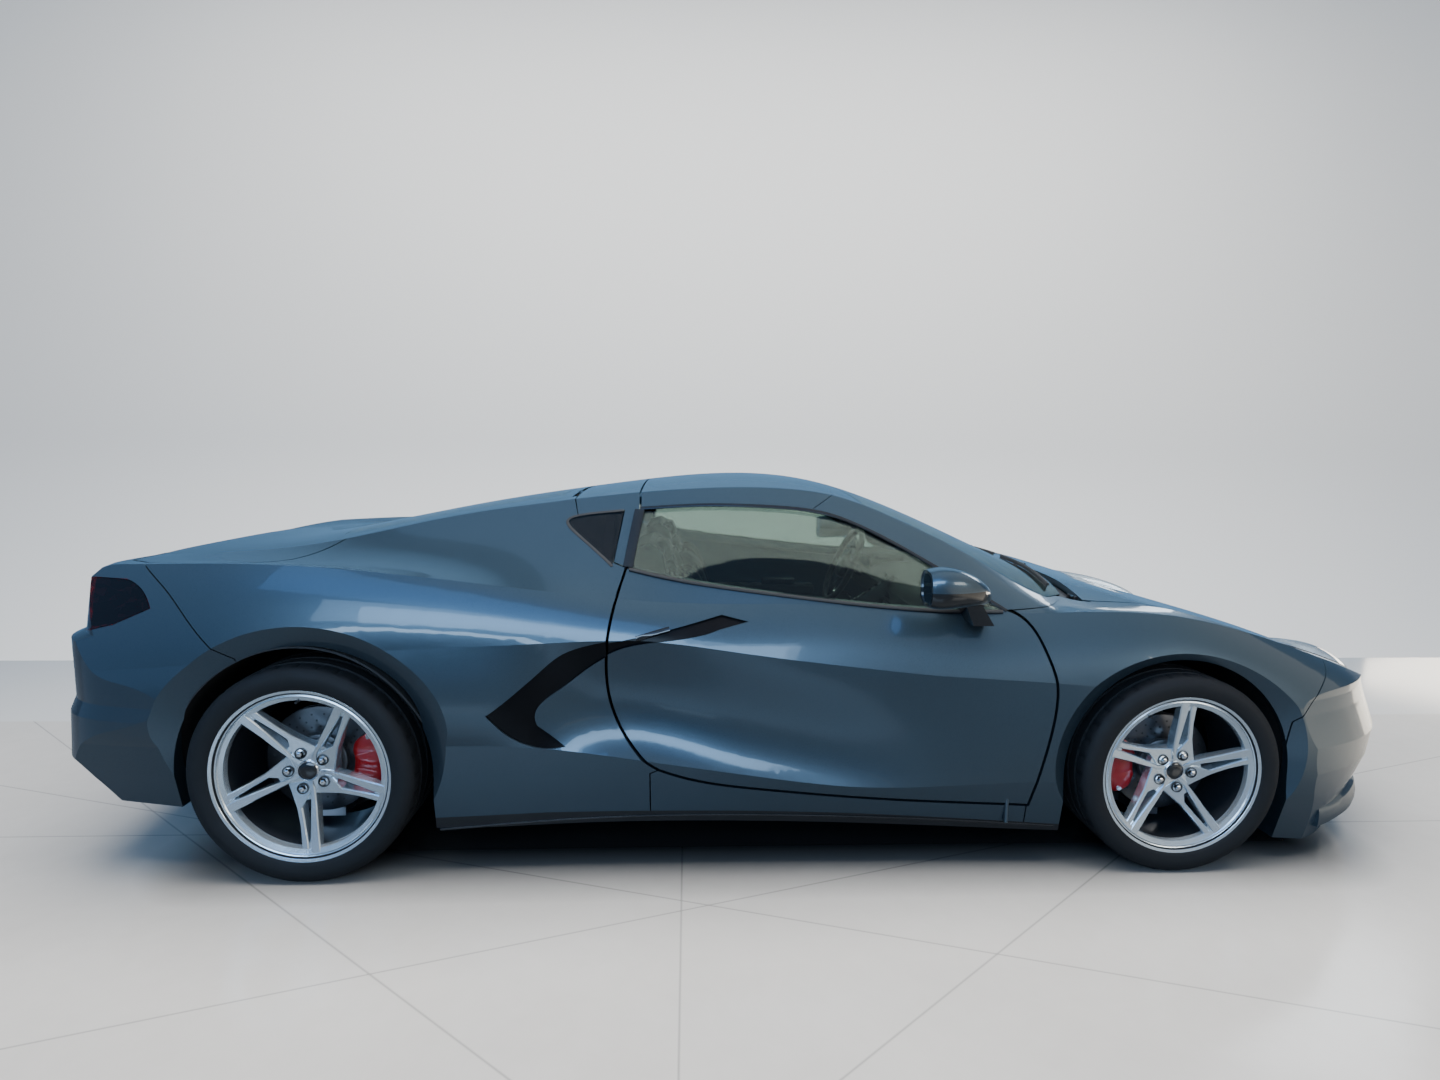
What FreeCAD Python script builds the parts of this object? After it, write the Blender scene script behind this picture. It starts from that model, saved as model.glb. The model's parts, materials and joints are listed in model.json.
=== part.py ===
import FreeCAD, Part, Sketcher
from FreeCAD import Placement, Rotation, Vector
import math
import os
import re
from types import SimpleNamespace

# Mid-engine two-seat coupe car.  +X is the nose, +Y the left side, +Z up.
# The origin is on the ground, below the middle of the car.
# Lengths are in millimetres.  Tables whose names end in shares give places as shares of the
# half length (x), the half width (y) and the height (z) of the car.

doc = FreeCAD.newDocument("coupe")

SIZES = {
    # whole car
    "length": 4634, "width": 1934, "height": 1234, "wheelbase": 2722, "front_axle": 1245,
    # body walls and seams
    "skin": 24, "flank": 52, "glass": 6, "seam": 4, "door_seam": 9, "jamb": 16, "door_flange": 34,
    "lid_seam": 8,
    # wheels: front, then rear
    "front_tyre": 322, "rear_tyre": 340, "front_tyre_width": 245, "rear_tyre_width": 305,
    "front_bead": 241, "rear_bead": 254, "front_middle": 822, "rear_middle": 792,
    "front_arch": 366, "rear_arch": 386, "band_start": 905, "band_reach": 160, "band_flare": 98,
    "well_half": 380, "rear_well_half": 400, "front_well_inner": 478, "rear_well_inner": 515,
    "front_disc": 160, "rear_disc": 172, "disc_thickness": 30, "bore": 28, "running_gap": 0.05,
    "front_turn": 90, "rear_turn": 61, "kingpin_inset": 62, "ball_pin": 9, "caliper_gap": 6,
    # hinges
    "door_pin": 7, "hinge_pin": 2.5, "hinge_barrel": 5, "lug_width": 20, "post_width": 14, "side_room": 5,
    "hatch_hinge_x": -722, "hatch_hinge_y": 250, "hatch_hinge_z": 1166, "hatch_arm": -16, "hatch_neck": 16,
    "hood_hinge_x": 1030, "hood_hinge_y": 600, "hood_hinge_z": 832, "hood_arm": 26, "hood_leg": 30,
    # inside
    "door_inner": 720, "wheel_rim": 16, "steering_radius": 178, "column": 32, "seat_gap": 0.3,
    "plate_wide": 178, "plate_tall": 121, "plate_height": 555, "plate_hole": 3.5,
    "sheet_wall": 6, "tip_radius": 40, "tip_wall": 4,
}

sheet = doc.addObject("Spreadsheet::Sheet", "Dimensions")
for row, (alias, value) in enumerate(SIZES.items(), start=1):
    sheet.set("A%d" % row, alias)
    sheet.set("B%d" % row, str(value))
    sheet.setAlias("B%d" % row, alias)
doc.recompute()
d = SimpleNamespace(**{alias: float(sheet.get(alias)) for alias in SIZES})
d.half_length, d.half_width = d.length / 2, d.width / 2
d.rear_axle = d.front_axle - d.wheelbase
nodes = {}


# Document helpers

def bound(text):
    """A formula in which each alias points at its cell of the sheet."""
    return re.sub(r"[a-z_]+", lambda found: "Dimensions." + found.group(), text)


def feature(name, shape):
    made = doc.addObject("Part::Feature", name)
    made.Shape = shape
    return made


def boolean(kind, name, base, tool):
    made = doc.addObject("Part::" + kind, name)
    made.Base, made.Tool = base, tool
    return made


def common(name, base, tool):
    return boolean("Common", name, base, tool)


def cut(name, base, tool):
    return boolean("Cut", name, base, tool)


def fuse(name, *shapes):
    made = doc.addObject("Part::MultiFuse", name)
    made.Shapes = list(shapes)
    return made


def group(name, *shapes):
    made = doc.addObject("Part::Compound", name)
    made.Links = list(shapes)
    return made


def mirrored(name, source):
    made = doc.addObject("Part::Mirroring", name)
    made.Source = source
    made.Normal = Vector(0, 1, 0)
    return made


def block(name, x, y, z):
    """A box between two shares of the half length, the half width and the height."""
    made = doc.addObject("Part::Box", name)
    for prop, span, unit in (("Length", x, "length / 2"), ("Width", y, "width / 2"),
                             ("Height", z, "height")):
        made.setExpression(prop, bound("%s * %.5f" % (unit, span[1] - span[0])))
    for prop, span, unit in (("x", x, "length / 2"), ("y", y, "width / 2"), ("z", z, "height")):
        made.setExpression("Placement.Base." + prop, bound("%s * %.5f" % (unit, span[0])))
    return made


def rod(name, start, end, radius):
    """A cylinder between two points, its radius a formula of the sheet's aliases."""
    made = doc.addObject("Part::Cylinder", name)
    made.setExpression("Radius", bound(radius))
    made.Height = (end - start).Length
    made.Placement = Placement(start, Rotation(Vector(0, 0, 1), end - start))
    return made


def spot(x, y, z):
    """The point at these shares of the half length, the half width and the height."""
    return Vector(x * d.half_length, y * d.half_width, z * d.height)


def revolved(name, rows):
    """A body turned about its own Y axis; each row is a corner's radius and its place
    along the axis, each as a number and as the formula that holds it."""
    body = doc.addObject("PartDesign::Body", name)
    plane = [part for part in body.Origin.OriginFeatures if part.Role == "XY_Plane"][0]
    sketch = body.newObject("Sketcher::SketchObject", name + "_profile")
    sketch.AttachmentSupport = [(plane, "")]
    sketch.MapMode = "FlatFace"
    corners = [Vector(reach[0], place[0], 0) for reach, place in rows]
    for a, b in zip(corners, corners[1:] + corners[:1]):
        sketch.addGeometry(Part.LineSegment(a, b))
    for i in range(len(rows)):
        sketch.addConstraint(Sketcher.Constraint("Coincident", (i or len(rows)) - 1, 2, i, 1))
    for i, row in enumerate(rows):
        for kind, (value, formula) in zip(("DistanceX", "DistanceY"), row):
            index = sketch.addConstraint(Sketcher.Constraint(kind, -1, 1, i, 1, value))
            sketch.setExpression("Constraints[%d]" % index, bound(formula))
    turn = body.newObject("PartDesign::Revolution", name + "_turn")
    turn.Profile = sketch
    turn.ReferenceAxis = (sketch, ["V_Axis"])
    turn.Angle = 360
    return body


def keep(node, made):
    made.Label = node
    nodes[node] = made
    return made


def both_sides(node, right):
    """The right-hand piece and its mirror image, as two nodes."""
    keep(node + "_right", right)
    keep(node + "_left", mirrored(node + "_mirror", right))


def pair(node, right):
    """The right-hand piece and its mirror image, in one node."""
    return keep(node, group(node + "_pair", right, mirrored(node + "_mirror", right)))


# Curves and outlines

class Fair:
    """A natural cubic curve through the rows' first and chosen columns."""

    def __init__(self, rows, column=1):
        self.at = [r[0] for r in rows]
        self.value = [r[column] for r in rows]
        last = len(rows) - 1
        self.step = [self.at[i + 1] - self.at[i] for i in range(last)]
        diagonal, side = [1.0] * (last + 1), [0.0] * (last + 1)
        bend = [0.0] * (last + 1)
        for i in range(1, last):
            before, after = self.step[i - 1], self.step[i]
            slope = (self.value[i + 1] - self.value[i]) / after
            slope -= (self.value[i] - self.value[i - 1]) / before
            share = before / diagonal[i - 1]
            diagonal[i] = 2 * (before + after) - share * side[i - 1]
            side[i] = after
            bend[i] = 6 * slope - share * bend[i - 1]
        for i in range(last - 1, 0, -1):
            bend[i] = (bend[i] - side[i] * bend[i + 1]) / diagonal[i]
        self.bend = bend

    def __call__(self, x):
        x = min(max(x, self.at[0]), self.at[-1])
        i = 0
        while i < len(self.step) - 1 and x > self.at[i + 1]:
            i += 1
        step = self.step[i]
        a, b = (self.at[i + 1] - x) / step, (x - self.at[i]) / step
        curve = (a ** 3 - a) * self.bend[i] + (b ** 3 - b) * self.bend[i + 1]
        return a * self.value[i] + b * self.value[i + 1] + curve * step * step / 6


def spline(points):
    curve = Part.BSplineCurve()
    curve.interpolate(points)
    return curve.toShape()


def grown(path, reach):
    """A closed outline's points, moved outwards by reach."""
    turn = sum(a[0] * b[1] - b[0] * a[1] for a, b in zip(path, path[1:] + path[:1]))
    side = 1 if turn > 0 else -1
    moved = []
    for before, here, after in zip(path[-1:] + path[:-1], path, path[1:] + path[:1]):
        normals = []
        for a, b in ((before, here), (here, after)):
            run = math.hypot(b[0] - a[0], b[1] - a[1])
            normals.append((side * (b[1] - a[1]) / run, side * (a[0] - b[0]) / run))
        mean = (normals[0][0] + normals[1][0], normals[0][1] + normals[1][1])
        size = math.hypot(*mean)
        mitre = max((mean[0] * normals[0][0] + mean[1] * normals[0][1]) / size, 0.45)
        moved.append((here[0] + mean[0] / size * reach / mitre, here[1] + mean[1] / size * reach / mitre))
    return moved


def outline(runs, reach, lift):
    """A closed wire of runs, each a smooth curve or a straight line, grown by reach."""
    path, ends = [], []
    for run in runs:
        path += run[:-1]
        ends.append(len(path))
    if reach:
        path = grown(path, reach)
    points = [lift(*place) for place in path]
    points.append(points[0])
    edges, start = [], 0
    for end in ends:
        run = points[start:end + 1]
        edges.append(spline(run) if len(run) > 2 else Part.makeLine(*run))
        start = end
    return Part.Wire(edges)


def scaled(runs, first, second):
    return [[(p[0] * first, p[1] * second) for p in run] for run in runs]


def closed(*runs):
    """A closed outline of runs: a straight line joins each run to the one before it."""
    chain, last = [], None
    for run in list(runs) + [runs[0][:1]]:
        if last is not None and math.dist(last, run[0]) > 0:
            chain.append([last, run[0]])
        if len(run) > 1:
            chain.append(list(run))
        last = run[-1]
    return chain


def whole(runs, side):
    """A closed outline from its half, with the other half on the given side, smooth at the middle."""
    other = [[(a * side[0], b * side[1]) for a, b in run] for run in runs]
    this = [list(reversed(run)) for run in reversed(runs)]
    return closed(*other[1:-1], other[-1] + this[0][1:], *this[1:-1], this[-1] + other[0][1:])


def side_prism(name, runs, y, reach=0.0):
    """An outline in side view, pushed through the shares of half width."""
    low, high = y[0] * d.half_width, y[1] * d.half_width
    wire = outline(scaled(runs, d.half_length, d.height), reach, lambda a, b: Vector(a, low, b))
    return feature(name, Part.Face(wire).extrude(Vector(0, high - low, 0)))


def plan_prism(name, runs, z, reach=0.0):
    """An outline in plan view, pushed through the shares of height."""
    low, high = z[0] * d.height, z[1] * d.height
    wire = outline(scaled(runs, d.half_length, d.half_width), reach, lambda a, b: Vector(a, b, low))
    return feature(name, Part.Face(wire).extrude(Vector(0, 0, high - low)))


def end_prism(name, runs, x, reach=0.0):
    """An outline in end view, pushed through the shares of half length."""
    low, high = x[0] * d.half_length, x[1] * d.half_length
    wire = outline(scaled(runs, d.half_width, d.height), reach, lambda a, b: Vector(low, a, b))
    return feature(name, Part.Face(wire).extrude(Vector(high - low, 0, 0)))


# The body's lines: station, then half width and height, all shares

CENTRE_LINE_shares = [
    (-1.057, 0.741), (-0.993, 0.762), (-0.863, 0.78), (-0.751, 0.804), (-0.557, 0.875), (-0.417, 0.922),
    (-0.259, 0.966), (-0.115, 0.997), (0, 1), (0.119, 0.963), (0.211, 0.901), (0.323, 0.81),
    (0.414, 0.733), (0.475, 0.695), (0.533, 0.669), (0.649, 0.608), (0.824, 0.521), (0.947, 0.442),
    (1.006, 0.389), (1.057, 0.332)]
ROOF_EDGE_shares = [
    (-1.057, 0.434, 0.741), (-0.95, 0.465, 0.766), (-0.82, 0.496, 0.78), (-0.654, 0.517, 0.818),
    (-0.491, 0.517, 0.885), (-0.388, 0.522, 0.916), (-0.266, 0.548, 0.947), (-0.119, 0.577, 0.972),
    (0.029, 0.581, 0.969), (0.121, 0.595, 0.932), (0.176, 0.62, 0.887), (0.246, 0.662, 0.823),
    (0.314, 0.714, 0.754), (0.4, 0.76, 0.671), (0.475, 0.739, 0.666), (0.561, 0.714, 0.655),
    (0.647, 0.683, 0.614), (0.777, 0.62, 0.535), (0.906, 0.538, 0.444), (1.006, 0.455, 0.365),
    (1.057, 0.403, 0.316)]
SHOULDER_shares = [
    (-1.057, 0.714, 0.762), (-0.941, 0.786, 0.776), (-0.833, 0.843, 0.786), (-0.639, 0.898, 0.788),
    (-0.486, 0.908, 0.764), (-0.331, 0.898, 0.728), (-0.186, 0.881, 0.699), (-0.043, 0.871, 0.691),
    (0.056, 0.865, 0.689), (0.197, 0.856, 0.671), (0.302, 0.853, 0.663), (0.388, 0.863, 0.669),
    (0.496, 0.881, 0.669), (0.568, 0.881, 0.652), (0.636, 0.867, 0.619), (0.734, 0.827, 0.562),
    (0.82, 0.77, 0.504), (0.906, 0.693, 0.442), (1.006, 0.579, 0.365), (1.057, 0.517, 0.324)]
CREASE_shares = [
    (-1.057, 0.827, 0.519), (-0.967, 0.889, 0.527), (-0.863, 0.946, 0.541), (-0.734, 0.988, 0.567),
    (-0.626, 1, 0.585), (-0.475, 0.995, 0.601), (-0.345, 0.982, 0.609), (-0.186, 0.969, 0.613),
    (-0.055, 0.963, 0.58), (0.077, 0.959, 0.548), (0.211, 0.957, 0.521), (0.356, 0.962, 0.504),
    (0.408, 0.968, 0.496), (0.537, 0.98, 0.485), (0.647, 0.977, 0.458), (0.734, 0.957, 0.421),
    (0.82, 0.91, 0.389), (0.906, 0.843, 0.363), (1.006, 0.755, 0.344), (1.057, 0.703, 0.336)]
LEDGE_shares = [
    (-1.057, 0.827, 0.348), (-0.967, 0.889, 0.348), (-0.863, 0.941, 0.35), (-0.734, 0.977, 0.353),
    (-0.475, 0.977, 0.355), (-0.315, 0.972, 0.345), (-0.224, 0.967, 0.32), (-0.039, 0.962, 0.266),
    (0.082, 0.958, 0.237), (0.177, 0.956, 0.233), (0.326, 0.956, 0.243), (0.408, 0.96, 0.243),
    (0.537, 0.967, 0.227), (0.691, 0.951, 0.203), (0.82, 0.889, 0.182), (0.906, 0.817, 0.17),
    (1.006, 0.724, 0.162), (1.057, 0.672, 0.162)]
ROCKER_EDGE_shares = [
    (-1.057, 0.786, 0.19), (-0.928, 0.858, 0.19), (-0.79, 0.91, 0.18), (-0.626, 0.92, 0.15),
    (-0.475, 0.923, 0.126), (-0.302, 0.92, 0.133), (-0.117, 0.918, 0.136), (0.06, 0.918, 0.128),
    (0.229, 0.918, 0.113), (0.384, 0.92, 0.099), (0.539, 0.915, 0.088), (0.699, 0.898, 0.063),
    (0.82, 0.858, 0.047), (0.928, 0.765, 0.062), (1.006, 0.703, 0.078), (1.057, 0.662, 0.085)]
# Depth of the scoop below the crease, as a share of the half width, and where it is deepest
SCOOP_shares = [
    (-1.057, -0.014, 0.5), (-0.734, -0.023, 0.5), (-0.475, -0.019, 0.5), (-0.388, -0.014, 0.52),
    (-0.302, 0.021, 0.56), (-0.242, 0.06, 0.58), (-0.129, 0.054, 0.64), (-0.043, 0.041, 0.7),
    (0.065, 0.025, 0.78), (0.173, 0.006, 0.8), (0.302, -0.004, 0.6), (0.432, -0.01, 0.52),
    (0.691, -0.01, 0.5), (1.057, -0.008, 0.5)]
# Swell of the surface between roof edge and shoulder, and between shoulder and crease
SWELL_shares = [
    (-1.057, 0, 0.01), (-0.82, -0.008, 0.018), (-0.647, -0.035, 0.023), (-0.475, -0.041, 0.019),
    (-0.324, -0.021, 0.014), (-0.216, 0.002, 0.012), (-0.119, 0.012, 0.01), (0.043, 0.014, 0.01),
    (0.173, 0.012, 0.012), (0.302, 0.008, 0.014), (0.388, -0.004, 0.016), (0.475, -0.014, 0.018),
    (0.604, -0.017, 0.022), (0.734, -0.006, 0.02), (0.863, 0.004, 0.013), (1.057, 0.006, 0.008)]
# Height of the crown half-way out, as a share of the rise from roof edge to centre line
CROWN_shares = [
    (-1.057, 0.8), (-0.647, 0.78), (-0.216, 0.8), (0.129, 0.78), (0.388, 0.8), (0.518, 0.86),
    (0.691, 0.8), (1.057, 0.76)]
NOSE_PLAN_shares = [
    (0.561, 1.044), (0.647, 1.019), (0.712, 0.972), (0.798, 0.895), (0.872, 0.781), (0.928, 0.626),
    (0.971, 0.424), (0.994, 0.207), (1, 0)]
TAIL_PLAN_shares = [
    (-0.647, 1.044), (-0.777, 1.003), (-0.863, 0.962), (-0.937, 0.898), (-0.979, 0.776), (-0.994, 0.569),
    (-0.999, 0.31), (-1, 0)]
# Heights of the plan outlines, and how far nose and tail lean in there, as shares of half length
LEAN_shares = [
    (-0.016, -0.08, 0.142), (0.107, -0.044, 0.086), (0.19, -0.022, 0.057), (0.254, -0.006, 0.024),
    (0.301, -0.002, 0), (0.326, 0, 0.001), (0.416, -0.02, 0.004), (0.452, -0.026, 0.013),
    (0.601, -0.026, 0.013), (0.616, -0.026, 0.033), (0.75, -0.026, 0.045), (0.77, -0.026, 0.058),
    (0.79, -0.026, 0.086), (1.135, -0.026, 0.216)]

STATIONS = 25
STATION_REACH = 1.0574
SCOOP_START_share = 0.55
SCOOP_START_DEPTH_share = 0.72
CROWN_OUT_share = 0.5
LEAN_RUN_share = 0.2

body_lines = [(Fair(rows, 1), Fair(rows, 2)) for rows in
              (ROOF_EDGE_shares, SHOULDER_shares, CREASE_shares, LEDGE_shares, ROCKER_EDGE_shares)]
centre_height = Fair(CENTRE_LINE_shares)
scoop_depth, scoop_place = Fair(SCOOP_shares, 1), Fair(SCOOP_shares, 2)
upper_swell, lower_swell = Fair(SWELL_shares, 1), Fair(SWELL_shares, 2)
crown = Fair(CROWN_shares)


def between(start, end, share, swell):
    """A point along the line from start to end, pushed out of the body by swell."""
    run, drop = end[0] - start[0], end[1] - start[1]
    reach = math.hypot(run, drop)
    return (start[0] + share * run - drop / reach * swell, start[1] + share * drop + run / reach * swell)


def section(x):
    """Half of the body's section at a station, from the roof's middle round to the floor's."""
    roof, shoulder, crease, ledge, rocker = [
        (line[0](x) * d.half_width, line[1](x) * d.height) for line in body_lines]
    top = centre_height(x) * d.height
    depth, place = scoop_depth(x) * d.half_width, scoop_place(x)
    return [
        (0.0, top), (roof[0] * CROWN_OUT_share, roof[1] + (top - roof[1]) * crown(x)), roof,
        between(roof, shoulder, 0.5, upper_swell(x) * d.half_width), shoulder,
        between(shoulder, crease, 0.5, lower_swell(x) * d.half_width), crease,
        between(crease, ledge, place * SCOOP_START_share, -depth * SCOOP_START_DEPTH_share),
        between(crease, ledge, place, -depth), ledge, rocker, (0.0, rocker[1])]


def shrunk(points, wall):
    """The section's points moved inwards by the wall's thickness."""
    moved = [(0.0, points[0][1] - wall)]
    for before, here, after in zip(points, points[1:], points[2:]):
        normals = []
        for a, b in ((before, here), (here, after)):
            reach = math.hypot(b[0] - a[0], b[1] - a[1])
            normals.append(((a[1] - b[1]) / reach, (b[0] - a[0]) / reach))
        mean = (normals[0][0] + normals[1][0], normals[0][1] + normals[1][1])
        size = math.hypot(*mean)
        mitre = max((mean[0] * normals[0][0] + mean[1] * normals[0][1]) / size, 0.6)
        moved.append((here[0] - mean[0] / size * wall / mitre, here[1] - mean[1] / size * wall / mitre))
    moved.append((0.0, points[-1][1] + wall))
    return moved


def section_wire(share, wall):
    points = section(share)
    if wall:
        points = shrunk(points, wall)
    x = share * d.half_length
    right = [Vector(x, -y, z) for y, z in points]
    left = [Vector(x, y, z) for y, z in points]
    return Part.Wire([
        spline([left[2], left[1], right[0], right[1], right[2]]), spline(right[2:5]),
        spline(right[4:7]), spline(right[6:10]), Part.makeLine(right[9], right[10]),
        Part.makeLine(right[10], left[10]), Part.makeLine(left[10], left[9]),
        spline(left[6:10][::-1]), spline(left[4:7][::-1]), spline(left[2:5][::-1])])


def plan_wire(height, nose_lean, tail_lean, wall):
    """The car's outline seen from above at one height."""
    z = height * d.height
    ends = []
    for rows, lean, away in ((NOSE_PLAN_shares, nose_lean, -wall), (TAIL_PLAN_shares, tail_lean, wall)):
        run = []
        for x, y in rows:
            part = min(1.0, abs(x - rows[0][0]) / LEAN_RUN_share)
            run.append((x * d.half_length + part * (lean * d.half_length + away), y * d.half_width))
        ends.append(run)
    nose, tail = ends
    nose = [Vector(x, -y, z) for x, y in nose] + [Vector(x, y, z) for x, y in nose[-2::-1]]
    tail = [Vector(x, y, z) for x, y in tail] + [Vector(x, -y, z) for x, y in tail[-2::-1]]
    return Part.Wire([spline(nose), Part.makeLine(nose[-1], tail[0]), spline(tail),
                      Part.makeLine(tail[-1], nose[0])])


def body_solid(name, wall):
    """The whole body, shrunk by wall, before any panel is split off."""
    shares = [STATION_REACH * (2 * i / (STATIONS - 1) - 1) for i in range(STATIONS)]
    loft = Part.makeLoft([section_wire(share, wall) for share in shares], True, False)
    plan = Part.makeLoft([plan_wire(*row, wall) for row in LEAN_shares], True, True)
    return feature(name, loft.common(plan))


outer = body_solid("body_outer", 0.0)
under_glass = body_solid("body_under_glass", d.glass)
under_skin = body_solid("body_under_skin", d.skin)
under_flank = body_solid("body_under_flank", d.flank)

# Seams in side view: shares of half length and height

DOOR_FRONT_shares = [
    (0.304, 0.669), (0.327, 0.644), (0.345, 0.575), (0.356, 0.498), (0.355, 0.421), (0.346, 0.324),
    (0.336, 0.235), (0.33, 0.18)]
DOOR_BOTTOM_shares = [(0.33, 0.18), (0.151, 0.199), (-0.038, 0.233), (-0.119, 0.256), (-0.172, 0.288)]
DOOR_REAR_shares = [
    (-0.172, 0.288), (-0.203, 0.334), (-0.224, 0.389), (-0.239, 0.478), (-0.24, 0.567), (-0.233, 0.673),
    (-0.219, 0.771)]
BELT_shares = [(-0.219, 0.771), (-0.12, 0.737), (0.057, 0.696), (0.197, 0.672), (0.304, 0.669)]
GLASS_TOP_shares = [
    (0.304, 0.669), (0.276, 0.702), (0.239, 0.746), (0.168, 0.824), (0.098, 0.887), (0.044, 0.916),
    (-0.032, 0.927), (-0.119, 0.929), (-0.205, 0.917)]
GLASS_REAR_shares = [(-0.205, 0.917), (-0.219, 0.771)]
QUARTER_GLASS_shares = [(-0.208, 0.917), (-0.297, 0.896), (-0.314, 0.876), (-0.252, 0.793), (-0.222, 0.771)]
FRONT_FASCIA_SEAM_shares = [(0.786, 0.567), (0.77, 0.516), (0.741, 0.483), (0.713, 0.442), (0.691, 0.397)]
REAR_FASCIA_SEAM_shares = [
    (-0.868, 0.818), (-0.855, 0.791), (-0.808, 0.727), (-0.763, 0.648), (-0.716, 0.567)]
# Edges of the lids and lamps in plan view, right half from the rear forwards: half length, half width
HOOD_PLAN_shares = [
    [(0.468, 0), (0.466, 0.31), (0.453, 0.579), (0.447, 0.677)], [(0.561, 0.674), (0.691, 0.636),
    (0.768, 0.564)], [(0.846, 0.455), (0.911, 0.331), (0.941, 0.155), (0.947, 0)]]
WINDSCREEN_PLAN_shares = [
    [(0.108, 0), (0.113, 0.31), (0.126, 0.575)], [(0.176, 0.608), (0.246, 0.649), (0.314, 0.701),
    (0.38, 0.74)], [(0.416, 0.662), (0.438, 0.414), (0.447, 0)]]
HATCH_PLAN_shares = [
    [(-0.314, 0), (-0.314, 0.455)], [(-0.432, 0.478), (-0.647, 0.509)], [(-0.699, 0.662), (-0.777, 0.76),
    (-0.863, 0.765)], [(-0.913, 0.662), (-0.937, 0.414), (-0.942, 0)]]
HATCH_GLASS_PLAN_shares = [
    [(-0.334, 0), (-0.334, 0.346)], [(-0.475, 0.362), (-0.673, 0.385)], [(-0.691, 0.207), (-0.693, 0)]]
HEADLAMP_PLAN_shares = [
    [(0.647, -0.836), (0.734, -0.827), (0.82, -0.76), (0.887, -0.636)], [(0.842, -0.564), (0.76, -0.631),
    (0.691, -0.714)]]
TAIL_LAMP_shares = [
    [(-1.057, 0.752), (-1.057, 0.613)], [(-0.945, 0.613), (-0.874, 0.646)], [(-0.825, 0.686),
    (-0.842, 0.725), (-0.87, 0.748)]]
COWL_shares = [
    [(0.414, 0), (0.41, 0.414), (0.388, 0.62), (0.367, 0.695)], [(0.457, 0.695)], [(0.468, 0.579),
    (0.48, 0.31), (0.482, 0)]]
SKIRT_shares = [
    [(-0.488, 0.024), (-0.488, 0.154)], [(-0.324, 0.166), (-0.117, 0.166), (0.06, 0.158), (0.229, 0.139),
    (0.382, 0.118)], [(0.382, 0.024)]]
FENDER_TOP_shares = [(0.304, 0.672), (0.414, 0.683), (0.432, 0.733), (0.82, 0.733)]
FENDER_FOOT_shares = [(0.691, 0.032), (0.33, 0.032)]
FRAME_shares = [
    [(0.093, 1.053)], [(0.09, 0.969)], [(0.044, 0.916), (0.098, 0.887), (0.168, 0.824), (0.239, 0.746),
    (0.276, 0.702), (0.304, 0.672)], [(0.414, 0.683)], [(0.483, 0.733)], [(0.483, 1.053)]]
ROOF_SIDE_shares = [
    [(0.092, 1.053)], [(0.089, 0.969)], [(0.043, 0.917), (-0.032, 0.927), (-0.119, 0.929),
    (-0.204, 0.918)], [(-0.206, 0.985)], [(-0.206, 1.053)]]
HOOP_shares = [
    [(-0.209, 1.053)], [(-0.209, 0.985)], [(-0.207, 0.918)], [(-0.221, 0.776)], [(-0.238, 0.787)],
    [(-0.228, 0.913)], [(-0.297, 0.899)], [(-0.307, 0.958)], [(-0.308, 1.053)]]
QUARTER_shares = [
    DOOR_REAR_shares, [(-0.252, 0.793)], [(-0.314, 0.876)], [(-0.298, 0.897)], [(-0.309, 0.958)],
    [(-0.309, 1.053)], [(-0.868, 1.053)], REAR_FASCIA_SEAM_shares, [(-0.708, 0.032)], [(-0.186, 0.032)],
    [(-0.186, 0.276)]]
QUARTER_PANE_shares = [
    [(-0.23, 0.911)], [(-0.297, 0.896)], [(-0.314, 0.876)], [(-0.252, 0.793)], [(-0.24, 0.776)]]
ROCKER_shares = [[(0.33, 0.032)], [(0.33, 0.243)], [(-0.186, 0.348)], [(-0.186, 0.032)]]
NOSE_shares = [
    [(0.786, 0.583), (0.77, 0.516), (0.741, 0.483), (0.713, 0.442), (0.691, 0.397)], [(0.691, 0.016)],
    [(1.079, 0.016)], [(1.079, 0.81)], [(0.798, 0.81)]]
TAIL_shares = [
    [(-0.868, 1.053)], REAR_FASCIA_SEAM_shares, [(-0.708, 0.016)], [(-1.079, 0.016)], [(-1.079, 1.053)]]
INTAKE_shares = [
    [(-0.242, 0.613), (-0.27, 0.601), (-0.3, 0.579), (-0.328, 0.536), (-0.352, 0.497), (-0.395, 0.434)],
    [(-0.379, 0.399), (-0.341, 0.353), (-0.295, 0.349)], [(-0.331, 0.404), (-0.333, 0.437),
    (-0.301, 0.492), (-0.262, 0.547), (-0.242, 0.571)]]
BLADE_shares = [
    [(-0.259, 0.603), (-0.171, 0.634), (-0.091, 0.669)], [(-0.055, 0.653)], [(-0.094, 0.636),
    (-0.146, 0.616), (-0.23, 0.587), (-0.259, 0.55)]]
FLOOR_shares = [
    [(-0.915, -0.016)], [(-0.915, 0.235)], [(-0.691, 0.235)], [(-0.691, 0.191)], [(0.811, 0.191)],
    [(0.811, -0.016)]]
CENTRE_GRILLE_shares = [[(0, 0.142), (0.279, 0.142)], [(0.259, 0.212), (0, 0.217)]]
CORNER_GRILLE_shares = [
    [(-0.341, 0.15)], [(-0.367, 0.212)], [(-0.62, 0.312)], [(-0.765, 0.324)], [(-0.767, 0.154)]]
SLAT_PLACE_shares = (0.165, 0.19, 0.215, 0.24, 0.265, 0.29)
SLAT_THICK_share = 0.008
DIFFUSER_shares = [[(0, 0.016), (0.662, 0.016)], [(0.62, 0.203)], [(0.341, 0.267)], [(0, 0.28)]]
FIN_shares = [[(-0.917, 0.243)], [(-0.917, 0.142)], [(-0.945, 0.142)], [(-0.976, 0.267)]]
FIN_HALF_share = 0.008
PLATE_HOLE_END_share = 0.9
FIN_PLACE_shares = (-0.55, -0.34, -0.12, 0.12, 0.34, 0.55)
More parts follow.
